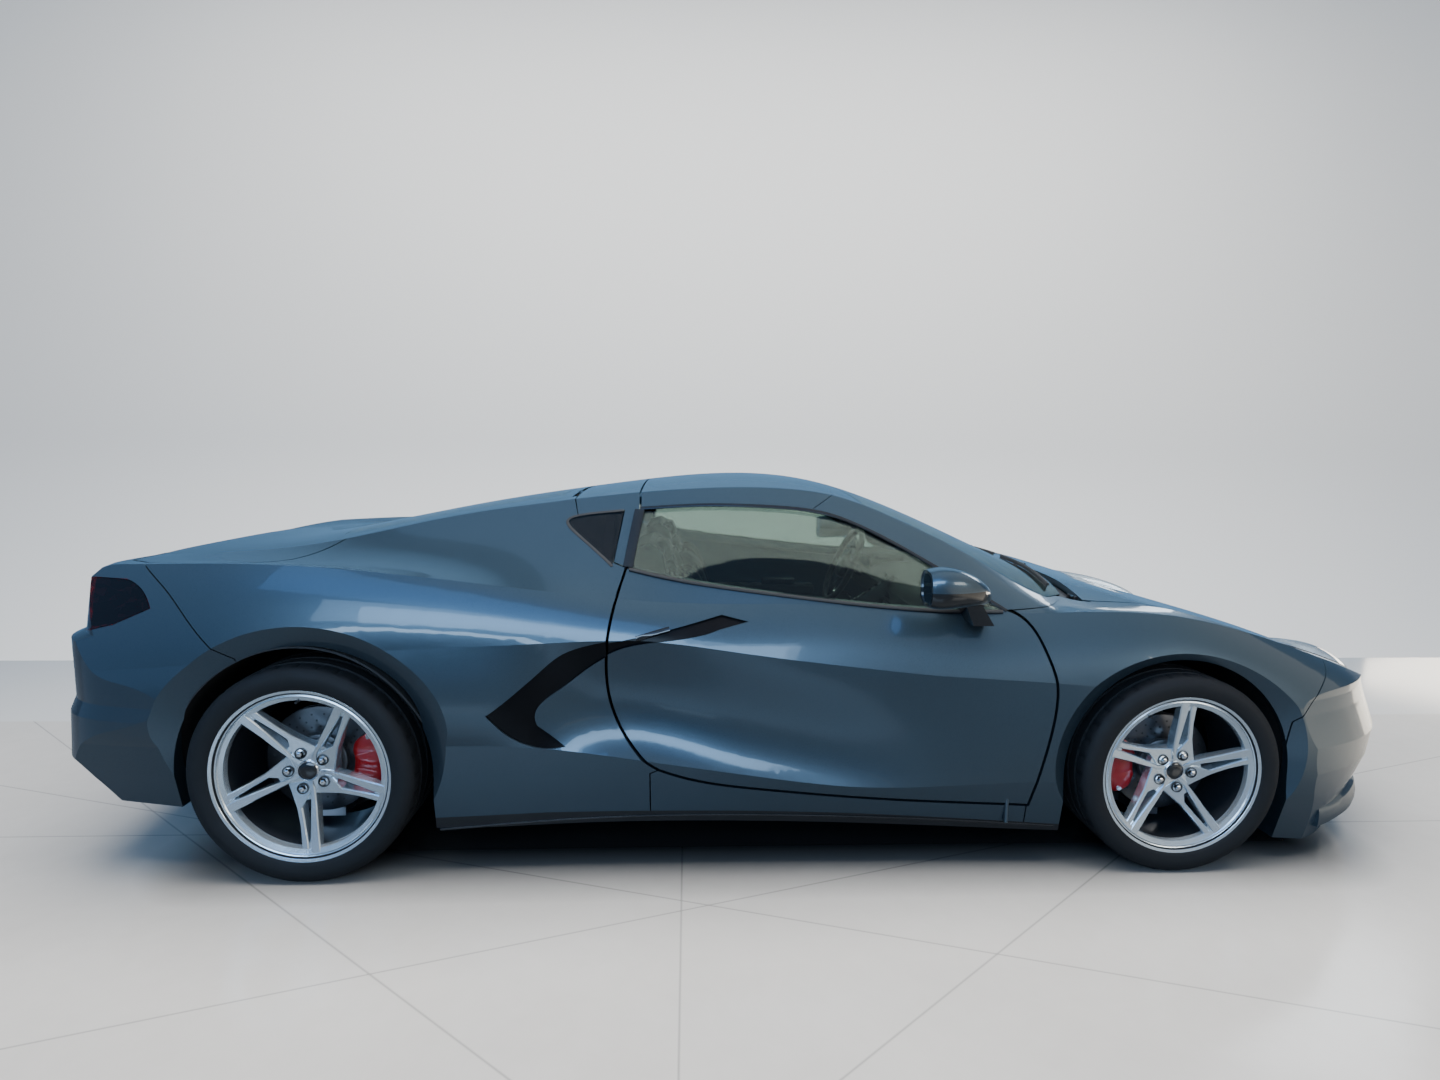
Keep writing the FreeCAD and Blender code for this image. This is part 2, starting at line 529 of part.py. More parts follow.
PLATE_shares = [[(0, 0.381), (0.165, 0.381)], [(0.176, 0.511)], [(0, 0.519)]]
OUTLET_shares = [[(-0.579, 0.243)], [(-0.605, 0.332)], [(-0.786, 0.344)], [(-0.817, 0.259)]]
SEAT_shares = [
    [(0.086, 0.191)], [(0.101, 0.267), (0.104, 0.324), (0.078, 0.357), (0.026, 0.344), (-0.078, 0.324),
    (-0.101, 0.332)], [(-0.142, 0.519), (-0.164, 0.697), (-0.173, 0.794)], [(-0.194, 0.818),
    (-0.216, 0.802)], [(-0.211, 0.648), (-0.186, 0.405), (-0.151, 0.243)], [(-0.129, 0.191)]]
BOLSTER_shares = [
    [(0.088, 0.243)], [(0.097, 0.324), (0.073, 0.387), (0.017, 0.391), (-0.052, 0.379), (-0.082, 0.405)],
    [(-0.113, 0.519), (-0.137, 0.648), (-0.16, 0.729)], [(-0.181, 0.729)], [(-0.173, 0.405)],
    [(-0.129, 0.243)]]
DASH_shares = [
    [(0.391, 0.454)], [(0.391, 0.648)], [(0.345, 0.679), (0.276, 0.677), (0.233, 0.66), (0.216, 0.624)],
    [(0.22, 0.567), (0.259, 0.519), (0.311, 0.454)]]

plan_side, end_side = (1, -1), (-1, 1)
full, right = (-1.2, 1.2), (-1.2, -0.2)
high = (0.2, 1.2)

skin = cut("upper_skin", outer, under_skin)
flank = cut("flank_skin", outer, under_flank)
glass_layer = cut("glass_layer", outer, under_glass)
middle_layer = cut("middle_layer", under_glass, under_skin)

# Wheel arches, with their flared bands, and the floor's share of the body

def arch_tool(name, axle, arch, side_start):
    """What the wheel opening removes: a cylinder, the space below it and a flared band."""
    reach = d.half_width + d.skin
    drum = Part.makeCylinder(arch, 2 * reach, Vector(axle, -reach, side_start), Vector(0, 1, 0))
    legs = Part.makeBox(2 * arch, 2 * reach, side_start, Vector(axle - arch, -reach, 0))
    tool = drum.fuse(legs)
    for side in (-1, 1):
        start = Vector(axle, side * d.band_start, side_start)
        band = Part.makeCone(arch, arch + d.band_reach, d.band_flare, start, Vector(0, side, 0))
        tool = tool.fuse(band)
    return feature(name, tool)


front_arch = arch_tool("front_arch_tool", d.front_axle, d.front_arch, d.front_tyre)
rear_arch = arch_tool("rear_arch_tool", d.rear_axle, d.rear_arch, d.rear_tyre)
floor_side = (-0.74, 0.74)
floor_region = side_prism("floor_region", closed(*FLOOR_shares), floor_side)
flank_open = cut("flank_open", flank, fuse("side_tools", front_arch, rear_arch, floor_region))

# Regions that several panels share

door_region = closed(DOOR_FRONT_shares, DOOR_BOTTOM_shares, DOOR_REAR_shares, BELT_shares)
pane_region = closed(BELT_shares, GLASS_TOP_shares, GLASS_REAR_shares)
hood_region = whole(HOOD_PLAN_shares, plan_side)
screen_region = whole(WINDSCREEN_PLAN_shares, plan_side)
hatch_region = whole(HATCH_PLAN_shares, plan_side)
rear_pane_region = whole(HATCH_GLASS_PLAN_shares, plan_side)
skirt_region = closed(*SKIRT_shares)
door_space = side_prism("door_space", door_region, right, d.door_seam)
door_jamb = common("door_jamb", under_skin, side_prism("jamb_space", door_region, right, d.jamb))
hood_space = plan_prism("hood_space", hood_region, high, d.lid_seam)
hatch_space = plan_prism("hatch_space", hatch_region, (0.6, 1.2), d.lid_seam)
cowl_space = plan_prism("cowl_space", whole(COWL_shares, plan_side), high)
skirt_space = side_prism("skirt_space", skirt_region, full)

# Hinges of the lids: a lug on the lid turns on a pin between two posts

def slab(name, low, high):
    """A box between two corners."""
    size = high - low
    return feature(name, Part.makeBox(size.x, size.y, size.z, low))


def hinge(name, axis, arm, neck, leg):
    """A right-hand hinge: the lid's lug, the carrier's posts and pin, and the room they turn in."""
    half = d.lug_width / 2
    inner, reach = half + d.side_room, half + d.side_room + d.post_width
    along = lambda label, start, end, radius: rod(
        name + label, axis + Vector(0, start, 0), axis + Vector(0, end, 0), radius)
    arm_box = slab(name + "_arm", axis + Vector(min(arm, 0), -half, -d.hinge_barrel),
                   axis + Vector(max(arm, 0), half, 0))
    barrel = along("_barrel", -half, half, "hinge_barrel")
    lug = cut(name + "_lug", fuse(name + "_lug_whole", barrel, arm_box),
              along("_bore", -half, half, "hinge_pin + running_gap"))
    posts = [along("_pin", -reach, reach, "hinge_pin")]
    for label, start in (("_near", inner), ("_far", -reach)):
        posts.append(along(label + "_eye", start, start + d.post_width, "hinge_barrel"))
        low = Vector(-d.hinge_barrel if leg else 0, start, -leg - (0 if leg else d.hinge_barrel))
        high_corner = Vector(d.hinge_barrel if leg else neck, start + d.post_width, 0)
        posts.append(slab(name + label + "_neck", axis + low, axis + high_corner))
    room = "hinge_barrel + side_room + running_gap"
    return (lug, fuse(name + "_posts", *posts),
            along("_lid_room", -reach - d.side_room, reach + d.side_room, room),
            along("_lug_room", -inner, inner, room))


hatch_lug, hatch_posts, hatch_room, hoop_room = hinge(
    "hatch_hinge", Vector(d.hatch_hinge_x, -d.hatch_hinge_y, d.hatch_hinge_z), d.hatch_arm, d.hatch_neck, 0)
hood_lug, hood_posts, hood_room, cowl_room = hinge(
    "hood_hinge", Vector(d.hood_hinge_x, -d.hood_hinge_y, d.hood_hinge_z), d.hood_arm, 0, d.hood_leg)

# Fixed outer panels

fender_region = closed(DOOR_FRONT_shares[::-1], FENDER_TOP_shares[1:], FRONT_FASCIA_SEAM_shares,
                       FENDER_FOOT_shares)
fender_side = side_prism("fender_side", fender_region, right)
lamp_space = plan_prism("lamp_space", closed(*HEADLAMP_PLAN_shares), high, d.seam / 2)
lamp_rebate = common("lamp_rebate", skin, lamp_space)
fender_tools = fuse("fender_tools", door_space, door_jamb, hood_space, cowl_space, skirt_space,
                    plan_prism("screen_space", screen_region, high, d.seam),
                    lamp_rebate,
                    side_prism("nose_space", closed(*NOSE_shares), full, d.seam))
both_sides("fender", cut("fender", common("fender_blank", flank_open, fender_side), fender_tools))

lamp_prism = plan_prism("lamp_prism", closed(*HEADLAMP_PLAN_shares), (0.4, 1.2))
lamp_layer = common("lamp_layer", skin, lamp_prism)
grille_tools = fuse("grille_tools",
                    end_prism("centre_grille_hole", whole(CENTRE_GRILLE_shares, end_side), (0.80, 1.02)),
                    end_prism("corner_grille_right", closed(*CORNER_GRILLE_shares), (0.70, 1.02)),
                    mirrored("corner_grille_left", doc.corner_grille_right))
nose_blank = common("nose_blank", flank_open, side_prism("nose_side", closed(*NOSE_shares), full))
lamp_rebates = group("lamp_rebates", lamp_rebate, mirrored("lamp_rebate_mirror", lamp_rebate))
keep("front_fascia", cut("front_fascia", nose_blank, fuse("nose_tools", hood_space, grille_tools,
                                                          lamp_rebates)))
pair("headlamps", lamp_layer)
inner_layer = cut("inner_layer", under_skin, under_flank)
slats = [block("slat%d" % i, (0.7, 1.02), (-0.78, 0.78), (z, z + SLAT_THICK_share))
         for i, z in enumerate(SLAT_PLACE_shares)]
grille_bars = common("grille_bars", common("grille_depth", middle_layer, grille_tools), fuse("slats", *slats))
grille_back = common("grille_back", inner_layer, grille_tools)
keep("front_grilles", fuse("front_grilles", grille_back, grille_bars))

# Screen frame, cowl, roof and hoop

frame_blank = common("frame_blank", skin, side_prism("frame_side", closed(*FRAME_shares), full))
screen_opening = plan_prism("screen_opening", screen_region, high, -d.skin)
screen_rebate = common("screen_rebate", glass_layer, doc.screen_space)
frame_tools = fuse("frame_tools", screen_opening, screen_rebate, hood_space, cowl_space)
front_ledge = common("front_ledge", inner_layer, block("front_ledge_box", (0.074, 0.1), (-0.5, 0.5), high))
screen_surround = cut("screen_surround", frame_blank, frame_tools)
keep("windscreen_frame", fuse("windscreen_frame", screen_surround, front_ledge))
keep("windscreen", common("windscreen", glass_layer, plan_prism("screen_prism", screen_region, high)))
cowl_skin = cut("cowl_skin", common("cowl_blank", inner_layer, cowl_space), hood_space)
keep("cowl", fuse("cowl", cowl_skin, hood_posts, mirrored("hood_posts_left", hood_posts)))
keep("roof_panel", common("roof_panel", skin, side_prism("roof_side", closed(*ROOF_SIDE_shares), full)))
hoop_blank = common("hoop_blank", skin, side_prism("hoop_side", closed(*HOOP_shares), full))
hoop_tools = fuse("hoop_tools", hatch_space, hoop_room, mirrored("hoop_room_left", hoop_room))
rear_ledge = common("rear_ledge", inner_layer, block("rear_ledge_box", (-0.235, -0.195), (-0.5, 0.5), high))
keep("roof_hoop", fuse("roof_hoop", cut("hoop_skin", hoop_blank, hoop_tools), rear_ledge, hatch_posts,
                       mirrored("hatch_posts_left", hatch_posts)))

# Rear quarters, their panes and intakes

quarter_pane = side_prism("quarter_pane_prism", closed(*QUARTER_PANE_shares), right)
intake_prism = side_prism("intake_prism", closed(*INTAKE_shares), right)
quarter_side = side_prism("quarter_side", closed(*QUARTER_shares), right)
hatch_gap = block("hatch_gap", (-0.3115, -0.302), (-0.462, 0.462), high)
quarter_tools = fuse("quarter_tools", door_space, door_jamb, hatch_space, skirt_space, quarter_pane,
                     intake_prism, hatch_gap,
                     side_prism("tail_space", closed(*TAIL_shares), full, d.seam))
both_sides("quarter", cut("quarter", common("quarter_blank", flank_open, quarter_side), quarter_tools))
pair("quarter_windows", common("quarter_window", glass_layer, quarter_pane))
intake_layer = cut("intake_layer", under_glass, under_flank)
pair("side_intakes", common("side_intake", intake_layer, intake_prism))

# Sides below the doors

rocker_blank = common("rocker_blank", flank_open, side_prism("rocker_side", closed(*ROCKER_shares), right))
rocker_tools = fuse("rocker_tools", door_space, skirt_space,
                    side_prism("fender_space", fender_region, right, d.seam),
                    side_prism("quarter_space", closed(*QUARTER_shares), right, d.seam))
rocker_skin = cut("rocker_skin", rocker_blank, rocker_tools)

pair("side_skirts", common("side_skirt", flank_open, side_prism("skirt_side", skirt_region, right)))

# Tail

tail_blank = common("tail_blank", flank_open, side_prism("tail_side", closed(*TAIL_shares), full))
tail_lamp_prism = side_prism("tail_lamp_prism", closed(*TAIL_LAMP_shares), (-1.2, -0.44))
tail_lamp_space = side_prism("tail_lamp_space", closed(*TAIL_LAMP_shares), (-1.2, -0.438), d.seam / 2)
tail_lamp_rebate = common("tail_lamp_rebate", skin, tail_lamp_space)
diffuser_prism = end_prism("diffuser_prism", whole(DIFFUSER_shares, end_side), (-1.2, -0.87))
outlet_prism = end_prism("outlet_prism", closed(*OUTLET_shares), (-1.2, -0.9))
plate_prism = end_prism("plate_prism", whole(PLATE_shares, end_side), (-1.2, -0.9))
tail_tools = fuse("tail_tools", hatch_space, diffuser_prism, outlet_prism, plate_prism,
                  mirrored("outlet_mirror", outlet_prism), tail_lamp_rebate,
                  mirrored("tail_lamp_rebate_left", tail_lamp_rebate))
plate_wall = block("plate_wall", (-0.985, -0.975), (-0.19, 0.19), (0.37, 0.53))
plate_holes = []
for y, z in ((-1, -1), (-1, 1), (1, -1), (1, 1)):
    foot = Vector(-d.half_length, y * d.plate_wide / 2, d.plate_height + z * d.plate_tall / 2)
    end = Vector(-PLATE_HOLE_END_share * d.half_length, foot.y, foot.z)
    plate_holes.append(rod("plate_hole%d" % len(plate_holes), foot, end, "plate_hole"))
plate_panel = cut("plate_panel", plate_wall, fuse("plate_holes", *plate_holes))
keep("rear_fascia", fuse("rear_fascia", cut("rear_fascia_skin", tail_blank, tail_tools), plate_panel))
pair("tail_lamps", cut("tail_lamp", common("tail_lamp_blank", skin, tail_lamp_prism), hatch_space))

fins = [side_prism("fin%d" % i, closed(*FIN_shares), (y - FIN_HALF_share, y + FIN_HALF_share))
        for i, y in enumerate(FIN_PLACE_shares)]
diffuser_panel = cut("diffuser_panel", common("diffuser_blank", inner_layer, diffuser_prism), floor_region)
diffuser_fins = common("diffuser_fins", fuse("fins", *fins), diffuser_prism)
keep("diffuser", fuse("diffuser", diffuser_panel, diffuser_fins))

# Doors, their panes and mirrors

DOOR_CHAMFER_shares = [
    [(0.302, -0.62)], [(0.302, -0.747)], [(0.363, -0.898)], [(0.388, -0.898)], [(0.388, -0.62)]]
# Mirror housing: station, middle, then half width and half height there
MIRROR_shares = [
    (0.171, -0.995, 0.749, 0.062, 0.044), (0.183, -0.998, 0.75, 0.066, 0.049),
    (0.207, -0.995, 0.75, 0.064, 0.047), (0.233, -0.982, 0.742, 0.054, 0.037),
    (0.252, -0.966, 0.731, 0.035, 0.023), (0.262, -0.953, 0.724, 0.012, 0.008)]
MIRROR_GLASS_share = 0.86
MIRROR_ROUND_share = 0.72
MIRROR_FOOT_shares = [[(0.224, 0.733)], [(0.242, 0.733)], [(0.27, 0.648)], [(0.242, 0.648)]]
door_side = side_prism("door_side", door_region, right)
door_flange = common("door_flange", flank, door_side)
door_core = common("door_core", under_skin, side_prism("door_core_side", door_region, right, -d.door_flange))
door_slab = fuse("door_slab", door_flange, door_core)
blade_prism = side_prism("blade_prism", closed(*BLADE_shares), right)
blade_room = common("blade_room", skin, blade_prism)
door_inside = Part.makeBox(d.length, d.width, d.height, Vector(-d.half_length, -d.door_inner, 0))
chamfer = plan_prism("door_chamfer", closed(*DOOR_CHAMFER_shares), (0.1, 0.8))
pivot_foot = spot(0.302, -0.936, 0.16)
door_bore = rod("door_bore", pivot_foot, pivot_foot + Vector(0, 0, d.height * 0.12), "door_pin + running_gap")
door_tools = fuse("door_tools", feature("door_inside", door_inside), chamfer, door_bore, blade_room)
both_sides("door", cut("door", door_slab, door_tools))
both_sides("door_blade", common("door_blade", common("blade_layer", middle_layer, blade_prism), door_side))
door_pane_prism = side_prism("door_pane_prism", pane_region, right, -d.lid_seam / 2)
both_sides("door_glass", common("door_glass", glass_layer, door_pane_prism))


def mirror_wire(row, size=1.0, shift=0.0):
    """One rounded section of the mirror's housing."""
    x, y, z, wide, tall = row
    points = []
    for i in range(12):
        turn = math.radians(30 * i)
        across, up = [math.copysign(abs(part) ** MIRROR_ROUND_share, part)
                      for part in (math.cos(turn), math.sin(turn))]
        points.append(Vector(x * d.half_length + shift, (y + size * wide * across) * d.half_width,
                             (z + size * tall * up) * d.height))
    curve = Part.BSplineCurve()
    curve.interpolate(points, PeriodicFlag=True)
    return Part.Wire(curve.toShape())


mirror_shell = feature("mirror_shell", Part.makeLoft([mirror_wire(row) for row in MIRROR_shares], True))
glass_wires = [mirror_wire(MIRROR_shares[0], MIRROR_GLASS_share, shift) for shift in (-d.glass, d.glass)]
mirror_recess = feature("mirror_recess", Part.makeLoft(glass_wires, True))
mirror_foot = side_prism("mirror_foot", closed(*MIRROR_FOOT_shares), (-0.95, -0.83))
both_sides("door_mirror", cut("door_mirror", fuse("mirror_whole", mirror_shell, mirror_foot),
                               fuse("mirror_tools", outer, mirror_recess)))

pivot = rod("door_pivot", spot(0.302, -0.936, 0.13), pivot_foot + Vector(0, 0, d.height * 0.11), "door_pin")
pair("rockers", fuse("rocker", rocker_skin, pivot))

# Lids

hood_skin = common("hood_skin", skin, plan_prism("hood_prism", hood_region, high))
keep("hood", fuse("hood", hood_skin, hood_lug, mirrored("hood_lug_left", hood_lug)))
hatch_blank = common("hatch_blank", skin, plan_prism("hatch_prism", hatch_region, (0.6, 1.2)))
rear_opening = plan_prism("rear_opening", rear_pane_region, high, -d.skin)
rear_rebate = common("rear_rebate", glass_layer, plan_prism("rear_pane_space", rear_pane_region, high,
                                                            d.seam / 2))
hatch_tools = fuse("hatch_tools", rear_opening, rear_rebate, hatch_room,
                   mirrored("hatch_room_left", hatch_room))
keep("hatch", fuse("hatch", cut("hatch_skin", hatch_blank, hatch_tools), hatch_lug,
                   mirrored("hatch_lug_left", hatch_lug)))
keep("hatch_glass", common("hatch_glass", glass_layer,
                           plan_prism("rear_pane_prism", rear_pane_region, high)))

# Structure: floor, rails, tub, liners and trunk tubs

def wells(name, axle, half, inner, tall):
    """The space of the two wheels of one axle."""
    reach = d.half_width + d.skin
    size = (2 * half, reach - inner, tall)
    right_well = Part.makeBox(*size, Vector(axle - half, -reach, -d.skin))
    left_well = Part.makeBox(*size, Vector(axle - half, inner, -d.skin))
    return feature(name, right_well.fuse(left_well))


front_wells = wells("front_wells", d.front_axle, d.well_half, d.front_well_inner, d.height)
rear_wells = wells("rear_wells", d.rear_axle, d.rear_well_half, d.rear_well_inner, d.height)
floor_slab = common("floor_slab", outer, floor_region)
RAILS = {
    "front_rail": ((0.405, 0.80), (-0.45, -0.37), (0.185, 0.30)),
    "rear_rail": ((-0.90, -0.26), (-0.50, -0.42), (0.185, 0.255)),
    "front_tower": ((0.505, 0.57), (-0.51, -0.37), (0.185, 0.47)),
    "rear_tower": ((-0.705, -0.67), (-0.55, -0.42), (0.215, 0.50)),
    "rear_tower_ahead": ((-0.605, -0.57), (-0.55, -0.42), (0.215, 0.50)),
}
rails = [block(name, *spans) for name, spans in RAILS.items()]
rails += [mirrored(made.Name + "_left", made) for made in rails]
PADS = {
    "front_pad": ((0.335, 0.36), (-0.73, -0.66), (0.095, 0.15)),
    "rear_pad": ((-0.42, -0.395), (-0.73, -0.66), (0.115, 0.17)),
}
pads = [block(name, *spans) for name, spans in PADS.items()]
pads += [mirrored(made.Name + "_left", made) for made in pads]
beams = [block("front_beam", (0.775, 0.80), (-0.45, 0.45), (0.20, 0.29)),
         block("rear_cradle", (-0.705, -0.57), (-0.55, 0.55), (0.105, 0.235)),
         block("rear_beam", (-0.90, -0.87), (-0.50, 0.50), (0.215, 0.33))]
chassis_whole = fuse("chassis_whole", floor_slab, *rails, *beams, *pads)
keep("underbody", cut("underbody", chassis_whole, fuse("wells", front_wells, rear_wells)))

TUB = {
    "sill": ((-0.245, 0.405), (-0.735, -0.63), (0.1912, 0.33)),
    "front_bulkhead": ((0.392, 0.405), (-0.75, 0.0), (0.1912, 0.66)),
    "rear_bulkhead": ((-0.258, -0.245), (-0.76, 0.0), (0.1912, 1.0)),
    "half_tunnel": ((-0.245, 0.392), (-0.14, 0.0), (0.1912, 0.34)),
    "hinge_pillar": ((0.362, 0.3735), (-0.86, -0.63), (0.1912, 0.62)),
}
tub_right = fuse("tub_right", *[block(name, *spans) for name, spans in TUB.items()])
tub_raw = fuse("tub_raw", tub_right, mirrored("tub_left", tub_right))
REAR_WINDOW_shares = (-0.55, 0.55)
tub_opening = block("tub_opening", (-0.27, -0.23), REAR_WINDOW_shares, (0.72, 0.93))
hoop_seat = block("hoop_seat", (-0.258, -0.245), (-0.6, 0.6), (0.88, 1.0))
tub_inside = fuse("tub_inside", common("tub_trimmed", tub_raw, under_flank),
                  common("hoop_seat_trimmed", hoop_seat, under_skin))
keep("cabin_tub", cut("cabin_tub", tub_inside, fuse("tub_tools", tub_opening, front_wells)))


def liner(name, axle, arch, inner, height):
    """The thin half drum over one wheel."""
    start, wide = Vector(axle, -d.half_width, height), d.half_width - inner
    outside = Part.makeCylinder(arch + 2 * d.sheet_wall, wide, start, Vector(0, 1, 0))
    inside = Part.makeCylinder(arch + d.sheet_wall, wide, start, Vector(0, 1, 0))
    box = Part.makeBox(3 * arch, wide, 2 * arch, Vector(axle - 1.5 * arch, start.y, height))
    return feature(name, outside.cut(inside).common(box))


liners = [liner("front_liner", d.front_axle, d.front_arch, d.front_well_inner, d.front_tyre),
          liner("rear_liner", d.rear_axle, d.rear_arch, d.rear_well_inner, d.rear_tyre)]
liners = [common(made.Name + "_inside", made, under_flank) for made in liners]
liners += [mirrored(made.Name + "_left", made) for made in liners]
keep("wheel_liners", group("wheel_liners", *liners))

TRUNKS = {
    "front_trunk": ((0.60, 0.80), (-0.40, 0.40), (0.30, 0.485)),
    "rear_trunk": ((-0.905, -0.7051), (-0.50, 0.50), (0.44, 0.70)),
}
tubs = []
for name, (x, y, z) in TRUNKS.items():
    wall = (d.sheet_wall * 2 / d.half_length, d.sheet_wall * 2 / d.half_width, d.sheet_wall * 2 / d.height)
    inside = [(span[0] + w, span[1] - w) for span, w in zip((x, y), wall)]
    space = block(name + "_space", *inside, (z[0] + wall[2], z[1] + wall[2]))
    tubs.append(cut(name + "_tub", block(name + "_blank", x, y, z), space))
keep("trunk_tubs", group("trunk_tubs", *tubs))

# Engine, transaxle and half shafts

RIB_PLACE_shares = (-0.52, -0.487, -0.454, -0.421, -0.388, -0.355, -0.322)
RIB_THICK_share = 0.008
engine_block = block("engine_block", (-0.555, -0.285), (-0.31, 0.31), (0.1912, 0.60))
engine_cover = block("engine_cover", (-0.535, -0.305), (-0.22, 0.22), (0.60, 0.655))
transaxle = block("transaxle", (-0.78, -0.555), (-0.17, 0.17), (0.2352, 0.40))
rear_hub = Vector(d.rear_axle, -d.rear_middle + d.kingpin_inset + d.bore / 2, d.rear_tyre)
shafts = rod("half_shafts", rear_hub, Vector(rear_hub.x, -rear_hub.y, rear_hub.z), "bore / 2")
muffler = block("muffler_box", (-0.925, -0.90), (-0.775, 0.775), (0.255, 0.33))
ribs = [block("rib%d" % i, (x, x + RIB_THICK_share), (-0.2, 0.2), (0.655, 0.668))
        for i, x in enumerate(RIB_PLACE_shares)]
rails_in = [rod("fuel_rail", spot(-0.53, -0.26, 0.63), spot(-0.31, -0.26, 0.63), "ball_pin"),
            rod("fuel_rail_left", spot(-0.53, 0.26, 0.63), spot(-0.31, 0.26, 0.63), "ball_pin")]
heads = [block("head", (-0.54, -0.30), (-0.3, -0.22), (0.60, 0.63)),
         block("head_left", (-0.54, -0.30), (0.22, 0.3), (0.60, 0.63))]
keep("engine", fuse("engine", engine_block, engine_cover, transaxle, shafts, *heads, *ribs, *rails_in))
tips = []
for place in (-0.64, -0.735):
    start, end = spot(-0.975, place, 0.29), spot(-0.925, place, 0.29)
    tips.append(cut("tip%d" % len(tips), rod("tip_out%d" % len(tips), start, end, "tip_radius"),
                    rod("tip_in%d" % len(tips), start, end, "tip_radius - tip_wall")))
tips += [mirrored(made.Name + "_left", made) for made in tips]
keep("exhaust_tips", fuse("exhaust", common("muffler", muffler, under_flank), *tips))

# Inside

seat_runs = closed(*SEAT_shares)
seat = side_prism("seat_middle", seat_runs, (-0.61, -0.19))
bolsters = [side_prism("bolster%d" % i, closed(*BOLSTER_shares), span)
            for i, span in enumerate(((-0.61, -0.53), (-0.27, -0.19)))]
pair("seats", fuse("seat", seat, *bolsters))
dash = side_prism("dash_side", closed(*DASH_shares), (-0.6297, 0.6297))
console = block("console", (-0.20, 0.32), (-0.12, 0.12), (0.34, 0.44))
stack = block("stack", (0.26, 0.32), (-0.12, 0.12), (0.44, 0.62))
wheel_centre = spot(0.181, 0.383, 0.648)
column_axis = Vector(-0.906, 0, 0.423)
column = rod("column", wheel_centre - column_axis * (d.column * 8),
             wheel_centre - column_axis * (d.column + d.seat_gap), "column / 2")
keep("dashboard", common("dashboard", fuse("dash_whole", dash, console, stack, column), under_flank))
rim_tool = Part.makeTorus(d.steering_radius, d.wheel_rim, wheel_centre, column_axis)
hub_disc = Part.makeCylinder(d.steering_radius / 3, d.column, wheel_centre - column_axis * d.column,
                             column_axis)
steering_shape = rim_tool.fuse(hub_disc)
for turn in (0, 120, 240):
    spoke = Part.makeBox(d.steering_radius, d.wheel_rim * 2, d.wheel_rim,
                         Vector(0, -d.wheel_rim, -d.wheel_rim / 2))
    spoke.rotate(Vector(0, 0, 0), Vector(0, 0, 1), turn + 90)
    tilt = Placement(wheel_centre, Rotation(Vector(0, 0, 1), column_axis))
    spoke.Placement = tilt.multiply(spoke.Placement)
    steering_shape = steering_shape.fuse(spoke)
keep("steering_wheel", feature("steering_wheel", steering_shape))

# Wheels: radius and place along the axle (outwards) as shares of the bead radius and the tyre width

TYRE_shares = [
    (0, -0.43), (0.23, -0.43), (0.30, -0.475), (0.55, -0.5), (0.78, -0.485), (0.93, -0.43), (1, -0.34),
    (1, 0.34), (0.93, 0.43), (0.78, 0.485), (0.55, 0.5), (0.30, 0.475), (0.23, 0.43), (0, 0.43)]
RIM_shares = [
    (1, -0.44), (1.07, -0.44), (1.07, -0.466), (1.035, -0.466), (0.965, -0.41), (0.945, 0.2),
    (0.955, 0.40), (1.02, 0.466), (1.07, 0.466), (1.07, 0.44), (1, 0.44)]
DISH_shares = [
    (0, 0.27), (0.25, 0.29), (0.6, 0.36), (0.97, 0.43), (0.97, 0.31), (0.6, 0.235), (0.25, 0.10),
    (0, 0.10)]
# One spoke with its fifth of the hub, and the slot that splits it: along the spoke, then across it
SPOKE_shares = [
    (0, 0), (0.30, 0.055), (0.65, 0.05), (0.98, 0.058), (0.98, -0.168), (0.70, -0.165),
    (0.43, -0.195), (0.143, -0.271)]
SLOT_shares = [(0.26, -0.005), (0.44, -0.125), (0.84, -0.088), (0.84, -0.058)]
LUG_shares = (0.21, -0.094)
LUG_POCKET_share = 0.066
LUG_FLOOR_share = 0.2
SPOKES = 5
HUB_share = 0.26
HUB_DEPTH_share = 0.12
CALIPER_SPAN = 62
CALIPER_REACH_share = 0.82
CALIPER_INNER_share = 0.44


def turned(profile):
    """A profile of (radius, place) revolved about the axle's own line, which runs along +Y."""
    wire = Part.makePolygon([Vector(r, w, 0) for r, w in profile + profile[:1]])
    return Part.Face(wire).revolve(Vector(0, 0, 0), Vector(0, 1, 0), 360)


def tyre(axle):
    """The tyre's ring, from bead to tread."""
    radius, bead, width = axle + "_tyre", axle + "_bead", axle + "_tyre_width"
    size = vars(d)
    wall = size[radius] - size[bead]
    return revolved("tyre_body_" + axle, [
        ((size[bead] + share * wall, "%s + %.4f * (%s - %s)" % (bead, share, radius, bead)),
         (place * size[width], "%.4f * %s" % (place, width)))
        for share, place in TYRE_shares])


